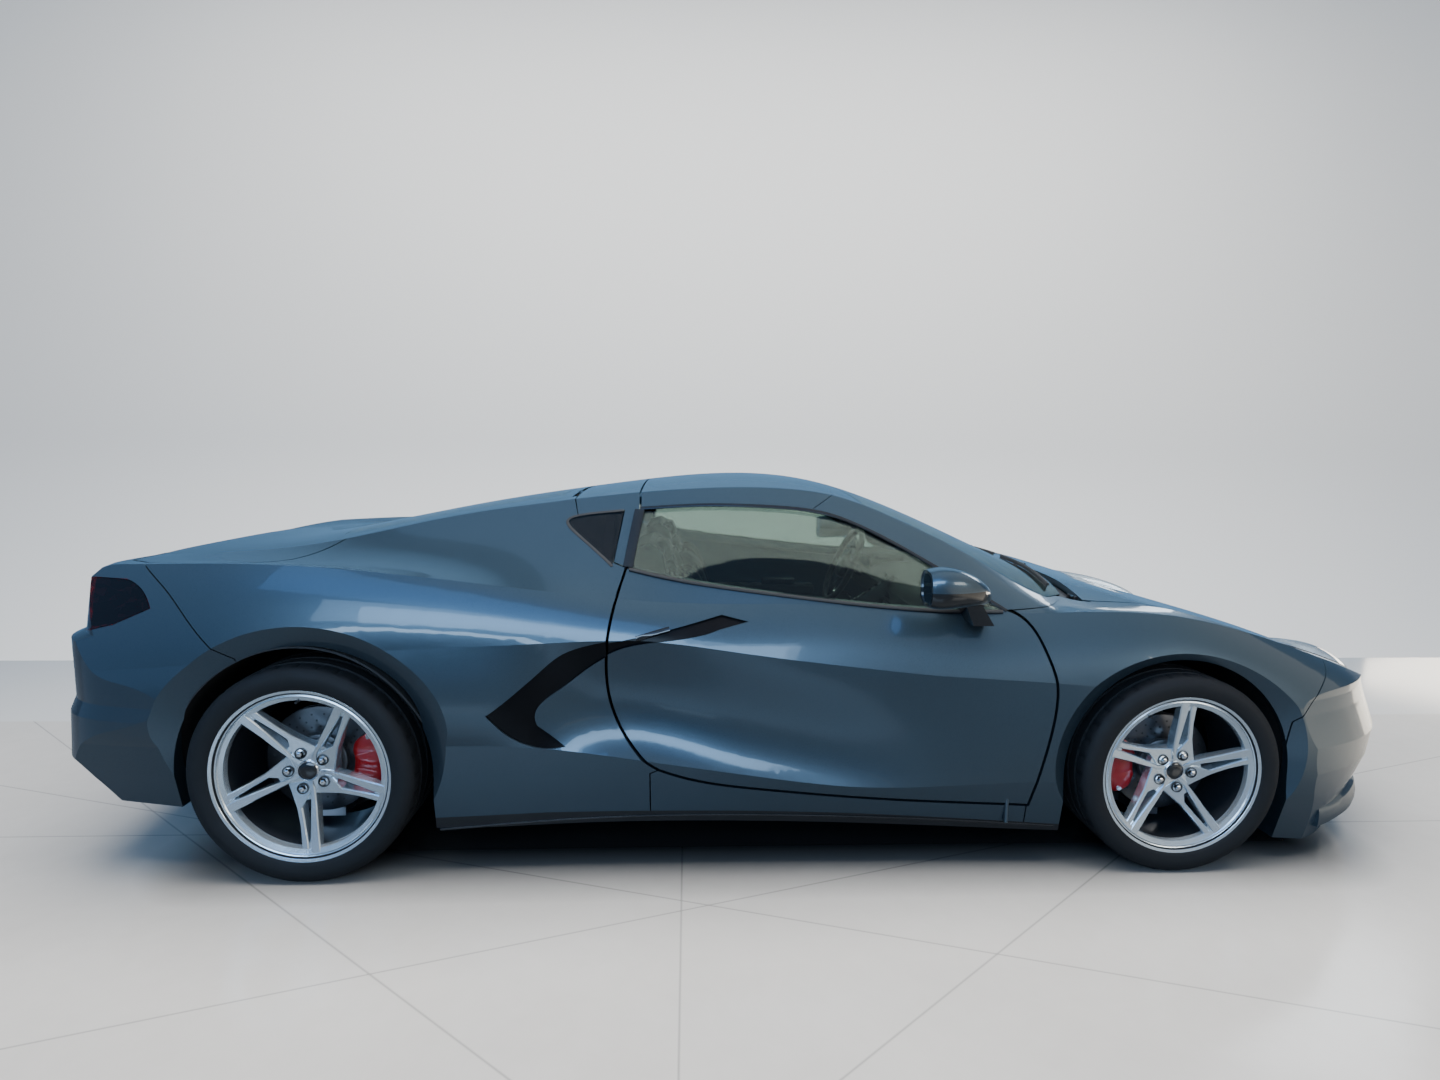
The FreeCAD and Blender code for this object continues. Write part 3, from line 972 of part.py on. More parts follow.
def rim(bead, width, turn):
    """Barrel and five split spokes, standing outwards along -Y (the right-hand side)."""
    barrel = turned([(share * bead, -place * width) for share, place in RIM_shares])
    dish = turned([(share * bead, -place * width) for share, place in DISH_shares])
    start, away = Vector(0, -width, 0), Vector(0, 1, 0)
    spokes, holes = [], []
    for i in range(SPOKES):
        for rows, chosen in ((SPOKE_shares, spokes), (SLOT_shares, holes)):
            edge = [start + Vector(r * bead, 0, h * bead) for r, h in rows]
            prism = Part.Face(Part.makePolygon(edge + edge[:1])).extrude(2 * width * away)
            prism.rotate(Vector(0, 0, 0), away, 360 / SPOKES * i - turn)
            chosen.append(prism)
        pocket = Part.makeCylinder(LUG_POCKET_share * bead, width * (1 - LUG_FLOOR_share),
                                   start + Vector(LUG_shares[0] * bead, 0, LUG_shares[1] * bead), away)
        pocket.rotate(Vector(0, 0, 0), away, 360 / SPOKES * i - turn)
        holes.append(pocket)
    star = spokes[0].multiFuse(spokes[1:]).cut(holes[0].multiFuse(holes[1:]))
    hub = Part.makeCylinder(HUB_share * bead, width * HUB_DEPTH_share,
                            Vector(0, -d.disc_thickness / 2 - width * HUB_DEPTH_share, 0), away)
    socket = Part.makeCylinder(d.bore, d.disc_thickness, Vector(0, -d.disc_thickness * 1.5, 0), away)
    return barrel.fuse(dish.common(star)).fuse(hub).cut(socket)


def disc(axle):
    """Brake disc with its hat, which the rim bolts on to."""
    radius = vars(d)[axle + "_disc"]
    bore, rim_edge, hat = (d.bore, "bore"), (radius, axle + "_disc"), (radius / 2, axle + "_disc / 2")
    back, middle = (d.disc_thickness, "disc_thickness"), (0.0, "0 * disc_thickness")
    front = (-d.disc_thickness / 2, "-disc_thickness / 2")
    return revolved("disc_body_" + axle, [
        (bore, back), (rim_edge, back), (rim_edge, middle), (hat, middle), (hat, front), (bore, front)])


def caliper(bead, radius):
    """A block bent round the disc's edge, with a slot in which the disc runs."""
    inner, outside = CALIPER_INNER_share * bead, CALIPER_REACH_share * bead
    out_face, in_face = -d.disc_thickness * 0.93, d.kingpin_inset - d.bore / 2
    wire = Part.makePolygon([Vector(r, w, 0) for r, w in (
        (inner, out_face), (outside, out_face), (outside, in_face), (inner, in_face), (inner, out_face))])
    body = Part.Face(wire).revolve(Vector(0, 0, 0), Vector(0, 1, 0), CALIPER_SPAN)
    body.rotate(Vector(0, 0, 0), Vector(0, 1, 0), -CALIPER_SPAN / 2)
    slot = Part.makeCylinder(radius + d.caliper_gap, d.disc_thickness + 2 * d.caliper_gap,
                             Vector(0, -d.caliper_gap, 0), Vector(0, 1, 0))
    return body.cut(slot)


def knuckle(bead, side):
    """Upright with spindle, bosses for the ball pins, and the caliper's seat."""
    start, face = d.kingpin_inset - d.bore / 2, -d.disc_thickness / 2
    plate = Part.makeBox(2 * d.bore, d.bore, bead * 1.3, Vector(-d.bore, start, -bead * 0.65))
    spindle = Part.makeCylinder(d.bore - d.running_gap, start + d.bore - face, Vector(0, face, 0),
                                Vector(0, 1, 0))
    seat = Part.makeBox(CALIPER_INNER_share * bead * 1.5, d.bore, 2 * d.bore, Vector(0, start, -d.bore))
    if side < 0:
        seat.rotate(Vector(0, 0, 0), Vector(0, 1, 0), 180)
    shape = plate.fuse(spindle).fuse(seat)
    for place in (-0.66, 0.66):
        foot = Vector(0, d.kingpin_inset, place * bead - d.bore / 2)
        boss = Part.makeCylinder(2 * d.ball_pin, d.bore, foot, Vector(0, 0, 1))
        hole = Part.makeCylinder(d.ball_pin + d.running_gap, 3 * d.bore, foot - Vector(0, 0, d.bore),
                                 Vector(0, 0, 1))
        shape = shape.fuse(boss).cut(hole)
    return shape


def placed(made, centre, turn=0.0):
    made.Placement = Placement(centre, Rotation(Vector(0, 1, 0), turn))
    return made


ARM_PLAN_shares = [(-0.16, 0), (-0.16, 0.35), (-0.6, 1), (0.6, 1), (0.16, 0.35), (0.16, 0)]


def links(name, centre, bead, inner):
    """Upper and lower suspension arms of one wheel, with their ball pins."""
    pin_y = centre.y + d.kingpin_inset
    shape = None
    for place, rise in ((-0.66, -1), (0.66, 1)):
        level = centre.z + place * bead
        pin = Part.makeCylinder(d.ball_pin, 2 * d.bore, Vector(centre.x, pin_y, level - d.bore),
                                Vector(0, 0, 1))
        z = level + rise * d.bore * 1.25 - d.bore / 2
        run = -inner - pin_y + d.ball_pin
        wire = Part.makePolygon([Vector(centre.x + x * bead, pin_y - d.ball_pin + y * run, z)
                                 for x, y in ARM_PLAN_shares + ARM_PLAN_shares[:1]])
        arm = Part.Face(wire).extrude(Vector(0, 0, d.bore))
        piece = pin.fuse(arm)
        shape = piece if shape is None else shape.fuse(piece)
    return feature(name, shape)


AXLES = {
    "front": (d.front_axle, d.front_middle, d.front_tyre, d.front_tyre_width, d.front_bead,
              d.front_disc, d.front_turn, -1),
    "rear": (d.rear_axle, d.rear_middle, d.rear_tyre, d.rear_tyre_width, d.rear_bead,
             d.rear_disc, d.rear_turn, 1),
}
all_links, rear_uprights, rear_calipers = [], [], []
for axle, (x, middle, radius, width, bead, disc_radius, turn, side) in AXLES.items():
    centre = Vector(x, -middle, radius)
    for piece, made in (("tyre", tyre(axle)), ("brake_disc", disc(axle)),
                        ("rim", feature(axle + "_rim", rim(bead, width, turn)))):
        both_sides(piece + "_" + axle, placed(made, centre))
    upright = placed(feature(axle + "_upright", knuckle(bead, side)), centre)
    brake = placed(feature(axle + "_brake", caliper(bead, disc_radius)), centre, 180 if side < 0 else 0)
    if axle == "front":
        both_sides("knuckle_front", upright)
        both_sides("caliper_front", brake)
    else:
        pair("knuckles_rear", upright)
        pair("calipers_rear", brake)
    arms = links(axle + "_links", centre, bead, d.front_well_inner if axle == "front" else d.rear_well_inner)
    all_links += [arms, mirrored(axle + "_links_left", arms)]
keep("suspension_arms", group("suspension_arms", *all_links))

doc.recompute()
failed = [made.Name for made in doc.Objects if "Invalid" in made.State or "Error" in made.State]
if failed:
    raise RuntimeError("these objects failed: " + ", ".join(failed))
for node, made in nodes.items():
    if made.Shape.isNull() or not made.Shape.isValid():
        raise RuntimeError("no valid shape: " + node)
os.makedirs("parts", exist_ok=True)
for node, made in nodes.items():
    made.Shape.exportStep("parts/%s.step" % node)
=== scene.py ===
import json
import math

import bmesh
import bpy
from mathutils import Matrix, Vector
from mathutils.bvhtree import BVHTree


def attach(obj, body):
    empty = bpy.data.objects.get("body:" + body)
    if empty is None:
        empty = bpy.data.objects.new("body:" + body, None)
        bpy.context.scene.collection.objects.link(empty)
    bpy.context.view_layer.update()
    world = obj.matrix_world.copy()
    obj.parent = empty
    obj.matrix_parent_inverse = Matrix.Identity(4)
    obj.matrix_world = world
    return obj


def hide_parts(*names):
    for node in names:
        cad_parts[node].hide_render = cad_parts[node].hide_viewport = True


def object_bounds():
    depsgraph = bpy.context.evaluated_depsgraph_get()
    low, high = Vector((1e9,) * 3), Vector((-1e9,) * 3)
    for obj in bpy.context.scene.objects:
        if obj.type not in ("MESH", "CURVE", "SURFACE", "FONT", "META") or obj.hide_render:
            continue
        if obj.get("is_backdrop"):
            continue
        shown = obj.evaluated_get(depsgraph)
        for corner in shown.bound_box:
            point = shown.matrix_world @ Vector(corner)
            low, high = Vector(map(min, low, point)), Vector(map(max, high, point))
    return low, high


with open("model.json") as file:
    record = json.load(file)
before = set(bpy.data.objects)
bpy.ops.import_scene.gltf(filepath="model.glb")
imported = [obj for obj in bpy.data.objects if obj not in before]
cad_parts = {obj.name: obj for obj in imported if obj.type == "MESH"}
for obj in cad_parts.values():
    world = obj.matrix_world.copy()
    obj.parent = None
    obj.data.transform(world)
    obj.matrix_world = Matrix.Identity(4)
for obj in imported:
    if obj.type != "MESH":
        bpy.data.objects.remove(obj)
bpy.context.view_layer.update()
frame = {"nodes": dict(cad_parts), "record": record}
nodes = frame["nodes"]


# Shader building

FLAKES_PER_METRE = 2600.0
COAT_ROUGHNESS = 0.035
DUST_TOP = 0.34
MIRROR_PARTING = 0.921


class Wire:
    """A shader socket that can be used in sums."""

    def __init__(self, finish, socket):
        self.finish, self.socket = finish, socket

    def maths(self, operation, first, second=0.0):
        return self.finish.node("ShaderNodeMath", {"operation": operation}, {0: first, 1: second})

    def __add__(self, other):
        return self.maths("ADD", self, other)

    def __radd__(self, other):
        return self.maths("ADD", other, self)

    def __sub__(self, other):
        return self.maths("SUBTRACT", self, other)

    def __rsub__(self, other):
        return self.maths("SUBTRACT", other, self)

    def __mul__(self, other):
        return self.maths("MULTIPLY", self, other)

    def __rmul__(self, other):
        return self.maths("MULTIPLY", other, self)

    def __pow__(self, other):
        return self.maths("POWER", self, other)

    def clipped(self):
        return self.maths("MINIMUM", self.maths("MAXIMUM", self, 0.0), 1.0)


class Finish:
    """A material and the nodes that make it."""

    def __init__(self, name):
        self.material = bpy.data.materials.new(name)
        self.material.use_nodes = True
        self.tree = self.material.node_tree
        self.tree.nodes.clear()
        self.end = self.tree.nodes.new("ShaderNodeOutputMaterial")
        self.point = self.node("ShaderNodeTexCoord", output="Object")

    def node(self, kind, settings=None, sockets=None, output=0):
        made = self.tree.nodes.new(kind)
        for name, value in (settings or {}).items():
            setattr(made, name, value)
        for name, value in (sockets or {}).items():
            if isinstance(value, Wire):
                self.tree.links.new(value.socket, made.inputs[name])
            else:
                made.inputs[name].default_value = value
        return Wire(self, made.outputs[output])

    def noise(self, scale, detail):
        return self.node("ShaderNodeTexNoise", None, {
            "Vector": self.point, "Scale": scale, "Detail": detail, "Roughness": 0.55})

    def cells(self, scale, output="Distance", feature="F1"):
        return self.node("ShaderNodeTexVoronoi", {"feature": feature}, {
            "Vector": self.point, "Scale": scale}, output)

    def flake(self):
        """A random level in each tiny cell, as of metal flake in paint."""
        return self.node("ShaderNodeSeparateColor", None, {"Color": self.cells(FLAKES_PER_METRE, "Color")})

    def axis(self, name):
        return self.node("ShaderNodeSeparateXYZ", None, {"Vector": self.point}, name)

    def mix(self, share, low, high):
        """A colour between two, each a triple or a wire."""
        full = lambda colour: colour if isinstance(colour, Wire) else (*colour, 1.0)
        made = self.tree.nodes.new("ShaderNodeMix")
        made.data_type = "RGBA"
        for socket, value in ((made.inputs[0], share), (made.inputs[6], full(low)), (made.inputs[7], full(high))):
            if isinstance(value, Wire):
                self.tree.links.new(value.socket, socket)
            else:
                socket.default_value = value
        return Wire(self, made.outputs[2])

    def bump(self, height, strength, distance):
        return self.node("ShaderNodeBump", None, {"Height": height, "Strength": strength, "Distance": distance})

    def surface(self, **sockets):
        """Ends the material in one Principled shader."""
        plain = {}
        for name, value in sockets.items():
            if isinstance(value, tuple) and len(value) == 3:
                value = (*value, 1.0)
            plain[name.replace("_", " ")] = value
        shader = self.node("ShaderNodeBsdfPrincipled", None, plain)
        self.tree.links.new(shader.socket, self.end.inputs["Surface"])
        return self.material


def paint():
    """Slate metallic base under a clear coat, with fine flake and a little road dust low down."""
    made = Finish("car_paint")
    level = made.flake()
    cloud = made.noise(2.2, 4.0)
    dust = ((DUST_TOP - made.axis("Z")) * 4.0).clipped() * made.noise(24.0, 5.0)
    base = made.mix(level * 0.35 + cloud * 0.3, (0.044, 0.078, 0.108), (0.092, 0.134, 0.17))
    base = made.mix(dust * 0.12, base, (0.12, 0.11, 0.09))
    rough = 0.27 + level * 0.1 + dust * 0.15
    peel = made.bump(made.noise(150.0, 2.0), 0.03, 0.001)
    return made.surface(Base_Color=base, Metallic=0.72, Roughness=rough, Coat_Weight=1.0 - dust * 0.3,
                        Coat_Roughness=COAT_ROUGHNESS, Coat_IOR=1.5, Normal=peel)


def glass(name, tint, rough=0.02):
    """Tinted pane or lamp cover with a faint film on it."""
    made = Finish(name)
    film = made.noise(9.0, 5.0)
    return made.surface(Base_Color=tint, Roughness=rough + film * 0.02, Transmission_Weight=1.0, IOR=1.46,
                        Normal=made.bump(made.noise(3.0, 1.0), 0.02, 0.001))


def plastic(name, colour, rough, grain=600.0, depth=0.12, coat=0.0, metal=0.0, shine=0.5):
    """Moulded or painted piece with a fine grain and worn patches."""
    made = Finish(name)
    wear = made.noise(7.0, 6.0)
    lighter = tuple(min(1.0, c * 1.35 + 0.006) for c in colour)
    return made.surface(Base_Color=made.mix(wear, colour, lighter), Roughness=(rough - 0.08 + wear * 0.16),
                        Metallic=metal, Coat_Weight=coat, Coat_Roughness=0.04, Specular_IOR_Level=shine,
                        Normal=made.bump(made.noise(grain, 2.0), depth, 0.0006))


def leather():
    made = Finish("cabin_leather")
    crease = made.cells(420.0)
    broad = made.noise(11.0, 4.0)
    base = made.mix(broad, (0.02, 0.02, 0.021), (0.03, 0.03, 0.0315))
    return made.surface(Base_Color=base, Roughness=0.44 + broad * 0.14, Sheen_Weight=0.1,
                        Normal=made.bump(crease, 0.35, 0.0008))


def rubber():
    made = Finish("tyre_rubber")
    dust = made.noise(16.0, 6.0)
    base = made.mix(dust, (0.003, 0.003, 0.004), (0.01, 0.01, 0.011))
    return made.surface(Base_Color=base, Roughness=0.62 + dust * 0.25,
                        Normal=made.bump(made.noise(900.0, 2.0), 0.2, 0.0006))


def lit(name, colour, strength):
    """A light strip, a little uneven along its length."""
    made = Finish(name)
    spots = made.noise(60.0, 2.0)
    glow = made.mix(spots, tuple(c * 0.7 for c in colour), colour)
    return made.surface(Base_Color=colour, Roughness=0.3, Emission_Color=glow, Emission_Strength=strength)


def meshwork():
    """Black mesh of small openings, the openings painted near black as painted shade behind them."""
    made = Finish("mesh_black")
    holes = made.cells(95.0, "Distance", "DISTANCE_TO_EDGE")
    wire = (1.0 - holes * 6.0).clipped()
    # The openings are painted darker than the wire: painted shade in the holes.
    base = made.mix(wire, (0.001, 0.001, 0.001), (0.02, 0.02, 0.021))
    return made.surface(Base_Color=base, Roughness=0.6 - wire * 0.25, Normal=made.bump(wire, 0.9, 0.004))


def split_paint():
    """Mirror housing: body colour above, gloss black below."""
    made = Finish("mirror_paint")
    level = made.flake()
    low = ((MIRROR_PARTING - made.axis("Z")) * 400.0).clipped()
    base = made.mix(level, (0.048, 0.082, 0.112), (0.088, 0.13, 0.165))
    base = made.mix(low, base, (0.008, 0.008, 0.009))
    return made.surface(Base_Color=base, Metallic=0.72 - low * 0.72, Roughness=0.3 - low * 0.14, Coat_Weight=1.0,
                        Coat_Roughness=COAT_ROUGHNESS, Normal=made.bump(made.noise(150.0, 2.0), 0.03, 0.001))


PAINT = paint()
WINDOW = glass("window_glass", (0.36, 0.45, 0.4))
DARK_WINDOW = glass("dark_glass", (0.06, 0.065, 0.07))
LENS = glass("lamp_lens", (0.86, 0.93, 0.98))
RED_LENS = glass("tail_lens", (0.16, 0.012, 0.012), 0.04)
BLACK = plastic("satin_black", (0.012, 0.012, 0.013), 0.38)
GLOSS = plastic("gloss_black", (0.006, 0.006, 0.007), 0.14, 200.0, 0.02, 1.0)
DEEP = plastic("deep_black", (0.003, 0.003, 0.004), 0.22, 300.0, 0.03, 0.0, 0.0, 0.16)
DULL = plastic("rough_black", (0.02, 0.02, 0.021), 0.72, 300.0, 0.3)
# Wheel alloy: silver of its own, with a blue cast that is a painted sky reflection.
ALLOY = plastic("wheel_alloy", (0.66, 0.73, 0.82), 0.22, 500.0, 0.05, 0.6, 0.74)
# Barrel alloy painted near black: painted shade inside the wheel; the barrel's own metal is the spokes' silver.
BARREL_PAINTED_SHADE = plastic("barrel_alloy_painted_shade", (0.055, 0.062, 0.075), 0.34, 400.0, 0.05, 0.3, 0.6)
# Headlamp reflector: its light blue base colour is a painted sky reflection.
LAMP_BACK = plastic("lamp_reflector", (0.3, 0.42, 0.58), 0.3, 300.0, 0.03, 0.6, 0.25)
STEEL = plastic("machined_steel", (0.42, 0.42, 0.43), 0.3, 220.0, 0.1, 0.0, 1.0)
CHROME = plastic("polished_steel", (0.66, 0.66, 0.67), 0.12, 300.0, 0.03, 0.0, 1.0)
CAST = plastic("cast_metal", (0.17, 0.17, 0.175), 0.52, 160.0, 0.5, 0.0, 0.85)
DISC = plastic("disc_iron", (0.085, 0.085, 0.09), 0.36, 400.0, 0.1, 0.0, 0.95)
RED = plastic("caliper_red", (0.5, 0.01, 0.014), 0.3, 260.0, 0.08, 0.6)
MIRROR = plastic("mirror_silver", (0.8, 0.82, 0.84), 0.03, 300.0, 0.0, 0.0, 1.0)
CAP = split_paint()
SCREEN = plastic("display_glass", (0.004, 0.005, 0.006), 0.1, 300.0, 0.01, 1.0)
GRILLE = meshwork()
GLOW = lit("lamp_glow", (0.9, 0.95, 1.0), 0.5)
RED_GLOW = lit("tail_glow", (0.6, 0.02, 0.015), 0.12)
TRIM = leather()
CARPET = plastic("cabin_carpet", (0.016, 0.016, 0.017), 0.95, 1500.0, 0.9)
RUBBER = rubber()

FINISHES = {
    "paint": PAINT, "black_trim": BLACK, "glass": WINDOW, "head_lens": LENS, "tail_lens": RED_LENS,
    "bright_steel": CHROME, "tub": CARPET, "engine_metal": CAST, "leather": TRIM, "iron": STEEL,
    "caliper_red": RED, "alloy": ALLOY, "tyre": RUBBER}
for part in frame["record"]["subparts"]:
    mesh = nodes[part["node"]].data
    mesh.materials.clear()
    mesh.materials.append(FINISHES[part["material_slot"]])
for name, finish in (("quarter_windows", DARK_WINDOW), ("door_mirror_left", CAP), ("door_mirror_right", CAP),
                     ("side_intakes", DEEP), ("door_blade_left", DEEP), ("door_blade_right", DEEP),
                     ("trunk_tubs", CARPET), ("front_grilles", GRILLE), ("wheel_liners", DULL), ("underbody", DULL)):
    nodes[name].data.materials[0] = finish


# Mesh helpers

def angles(count, more=0):
    """Equal steps round a turn, with more of them past its end."""
    return [2 * math.pi * k / count for k in range(count + more)]


def boxy(value, power):
    """A sine or cosine pushed out, for outlines between a circle and a square."""
    return math.copysign(abs(value) ** power, value)


def circle(count, wide, tall=None, power=1.0, more=0):
    """Pairs round a circle, or round a boxier outline of two half widths."""
    tall = wide if tall is None else tall
    return [(wide * boxy(math.cos(a), power), tall * boxy(math.sin(a), power)) for a in angles(count, more)]


def piece(name, shell, finish, body="chassis", smooth=True, angle=35.0):
    """A mesh object from a shell's points and faces, riding on a body, with its material slot."""
    mesh = bpy.data.meshes.new(name)
    mesh.from_pydata([tuple(p) for p in shell[0]], [], shell[1])
    mesh.materials.append(finish)
    made = bpy.data.objects.new(name, mesh)
    bpy.context.scene.collection.objects.link(made)
    work = bmesh.new()
    work.from_mesh(mesh)
    bmesh.ops.remove_doubles(work, verts=work.verts, dist=1e-6)
    bmesh.ops.recalc_face_normals(work, faces=work.faces)
    for face in work.faces:
        face.smooth = smooth
    for edge in work.edges:
        if len(edge.link_faces) == 2:
            edge.smooth = edge.calc_face_angle(0.0) < math.radians(angle)
    work.to_mesh(mesh)
    work.free()
    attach(made, body)
    return made


def bevelled(made, width, segments=2):
    modifier = made.modifiers.new("bevel", "BEVEL")
    modifier.width, modifier.segments = width, segments
    modifier.limit_method, modifier.angle_limit = "ANGLE", math.radians(30.0)
    modifier.harden_normals = True


def grid_faces(rows, columns, closed_rows=False, closed_columns=False):
    faces = []
    for i in range(rows if closed_rows else rows - 1):
        for j in range(columns if closed_columns else columns - 1):
            a, b = i % rows, (i + 1) % rows
            c, e = j % columns, (j + 1) % columns
            faces.append((a * columns + c, a * columns + e, b * columns + e, b * columns + c))
    return faces


def lofted(sections, ring=False):
    """Points and faces through closed sections of equal count: a bar with ends, or a ring."""
    count = len(sections[0])
    points = [p for section in sections for p in section]
    faces = grid_faces(len(sections), count, ring, True)
    if not ring:
        faces.append(tuple(range(count)))
        faces.append(tuple(len(points) - count + i for i in range(count)))
    return points, faces


def joined(*shells):
    """Several (points, faces) shells as one."""
    points, faces = [], []
    for more, sides in shells:
        faces += [tuple(i + len(points) for i in face) for face in sides]
        points += list(more)
    return points, faces


def bar(corners, depth):
    """A prism of a flat outline pushed along depth."""
    depth = Vector(depth)
    return lofted([[Vector(c) for c in corners], [Vector(c) + depth for c in corners]])


def grown_normal(points, i):
    """Direction of a path at one of its points."""
    a, b = points[max(i - 1, 0)], points[min(i + 1, len(points) - 1)]
    return (b - a).normalized()


def eased(rows, steps=6):
    """A smooth path through rows of numbers."""
    rows = [Vector(row) for row in rows]
    ends = [2 * rows[0] - rows[1]] + rows + [2 * rows[-1] - rows[-2]]
    path = []
    for i in range(1, len(ends) - 2):
        a, b, c, e = ends[i - 1:i + 3]
        for step in range(steps):
            u = step / steps
            path.append(0.5 * (2 * b + (c - a) * u + (2 * a - 5 * b + 4 * c - e) * u * u
                               + (3 * b - a - 3 * c + e) * u * u * u))
    return path + [rows[-1]]


class Skin:
    """The outside of some CAD nodes, to lay pieces on."""

    def __init__(self, *names):
        points, faces = [], []
        for name in names:
            made = nodes[name]
            start = len(points)
            points += [made.matrix_world @ v.co for v in made.data.vertices]
            faces += [tuple(start + i for i in face.vertices) for face in made.data.polygons]
        self.tree = BVHTree.FromPolygons(points, faces)

    def hit(self, start, way, fallback):
        """Place and outward normal where a ray meets the skin, or else nearest to the fallback."""
        place, normal = self.tree.ray_cast(Vector(start), Vector(way))[:2]
        if place is None:
            place, normal = self.tree.find_nearest(Vector(fallback))[:2]
        if normal.dot(Vector(way)) > 0:
            normal = -normal
        return place, normal

    def side(self, x, z, side):
        return self.hit((x, side * 1.4, z), (0, -side, 0), (x, side * 0.9, z))

    def top(self, x, y):
        return self.hit((x, y, 2.0), (0, 0, -1), (x, y, 1.0))

    def front(self, y, z):
        return self.hit((3.0, y, z), (-1, 0, 0), (2.2, y, z))

    def back(self, y, z):
        return self.hit((-3.0, y, z), (1, 0, 0), (-2.2, y, z))


def ribbon(laid, width, high, sink=0.002):
    """A rounded strip along laid points, each a place with its normal."""
    sections = []
    places = [p for p, n in laid]
    for i, (p, n) in enumerate(laid):
        along = grown_normal(places, i)
        across = n.cross(along).normalized()
        out = along.cross(across).normalized()
        if out.dot(n) < 0:
            out = -out
        ring = [p + across * (-width / 2) - out * sink]
        for k in range(7):
            a = math.pi * (1 - k / 6)
            ring.append(p + across * (width / 2 * boxy(math.cos(a), 0.6))
                        + out * (high * math.sin(a) ** 0.5))
        ring.append(p + across * (width / 2) - out * sink)
        sections.append(ring)
    return lofted(sections)


def patch(grid, thick):
    """A plate over a grid of (place, normal), pushed in by thick."""
    rows, columns = len(grid), len(grid[0])
    outer = [p for row in grid for p, n in row]
    inner = [p - n * thick for row in grid for p, n in row]
    faces = grid_faces(rows, columns)
    count = len(outer)
    faces += [tuple(i + count for i in reversed(face)) for face in faces]
    edge = (list(range(columns)) + [r * columns + columns - 1 for r in range(1, rows)]
            + [(rows - 1) * columns + c for c in range(columns - 2, -1, -1)]
            + [r * columns for r in range(rows - 2, 0, -1)])
    for i, a in enumerate(edge):
        b = edge[(i + 1) % len(edge)]
        faces.append((a, b, b + count, a + count))
    return outer + inner, faces


def box(low, high):
    (a, b, c), (e, f, g) = low, high
    return lofted([[(a, b, z), (e, b, z), (e, f, z), (a, f, z)] for z in (c, g)])


def tube(path, radius, sides=12):
    """A round bar along a path, of one radius or of a radius by the share of the way along."""
    path, sections = [Vector(p) for p in path], []
    for i, p in enumerate(path):
        along = grown_normal(path, i)
        across = along.cross(Vector((0.13, 0.21, 0.97))).normalized()
        up = along.cross(across)
        r = radius(i / (len(path) - 1)) if callable(radius) else radius
        sections.append([p + (across * math.cos(a) + up * math.sin(a)) * r for a in angles(sides)])
    return lofted(sections)


ENDS = ((-1, "right"), (1, "left"))


# Wheels

# Of each axle: place ahead, place out, tyre radius, width, bead radius, disc radius, turn of the first spoke
WHEELS = {
    "front": (1.245, 0.822, 0.322, 0.245, 0.241, 0.16, 90.0),
    "rear": (-1.477, 0.792, 0.34, 0.305, 0.254, 0.172, 61.0),
}
ARMS = 5


def wheel_place(axle, side):
    """Turns (angle, radius, way out) of a wheel into a point of the car."""
    x, middle, height = WHEELS[axle][:3]
    return lambda angle, radius, out: Vector((
        x + radius * math.cos(angle), side * (middle + out), height + radius * math.sin(angle)))


def stud_place(centre, side):
    """The same for a small round piece on a wheel, about its own centre."""
    return lambda angle, radius, out: Vector((
        centre.x + radius * math.cos(angle), centre.y + side * out, centre.z + radius * math.sin(angle)))


def turned(place, profile, steps=120, closed=True, wobble=None):
    """A profile of (radius, way out) turned about a wheel's axis; an open one ends on the axis."""
    sections = []
    for i in range(steps):
        angle = 2 * math.pi * i / steps
        sections.append([place(angle, r + (wobble(i, r, out) if wobble else 0.0), out) for r, out in profile])
    points = [p for section in sections for p in section]
    return points, grid_faces(steps, len(profile), True, closed)


def tyre_profile(bead, radius, width):
    """Side wall, shoulder and tread with four grooves, from one bead round to the other."""
    wall = radius - bead
    shares = [(0.02, 0.4), (0.0, 0.43), (0.06, 0.455), (0.16, 0.462), (0.2, 0.475), (0.3, 0.488), (0.5, 0.4995),
              (0.66, 0.4985), (0.7, 0.494), (0.8, 0.484), (0.84, 0.476), (0.9, 0.462), (0.95, 0.443)]
    tread = [(0.978, 0.42), (0.992, 0.385)]
    for middle in (0.285, 0.105, -0.105, -0.285):
        tread += [(1.0, middle + 0.026), (0.91, middle + 0.02), (0.91, middle - 0.02), (1.0, middle - 0.026)]
    tread += [(0.992, -0.385), (0.978, -0.42)]
    whole = shares + tread + [(s, -w) for s, w in reversed(shares)]
    return [(bead + s * wall, w * width) for s, w in whole]


def make_tyre(axle, side, name):
    radius, width, bead = WHEELS[axle][2:5]

    def sipes(i, r, out):
        deep = r > bead + 0.96 * (radius - bead) and abs(out) > 0.3 * width * 0.99
        return -0.004 if deep and i % 6 == 0 else 0.0

    shell = turned(wheel_place(axle, side), tyre_profile(bead, radius, width), 216, True, sipes)
    made = piece("tyre_body_" + name, shell, RUBBER, "wheel_" + name, True, 32)
    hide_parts("tyre_%s" % name)


def spoke_bar(place, stations, turn, width, bead):
    """One bar of a spoke: stations of (along, low edge, high edge, face height, depth) as shares."""
    sections = []
    for along, low, high, face, deep in stations:
        ring = []
        lip = min(0.012, 0.3 * (high - low))
        for across, drop in ((low, 0.9), (low, 0.1), (low + lip, 0.0), (high - lip, 0.0), (high, 0.1),
                             (high, 0.9), (high - lip, 1.0), (low + lip, 1.0)):
            angle = turn + math.atan2(across, along)
            ring.append(place(angle, math.hypot(along, across) * bead, face * width - drop * deep * bead))
        sections.append(ring)
    return lofted(sections)


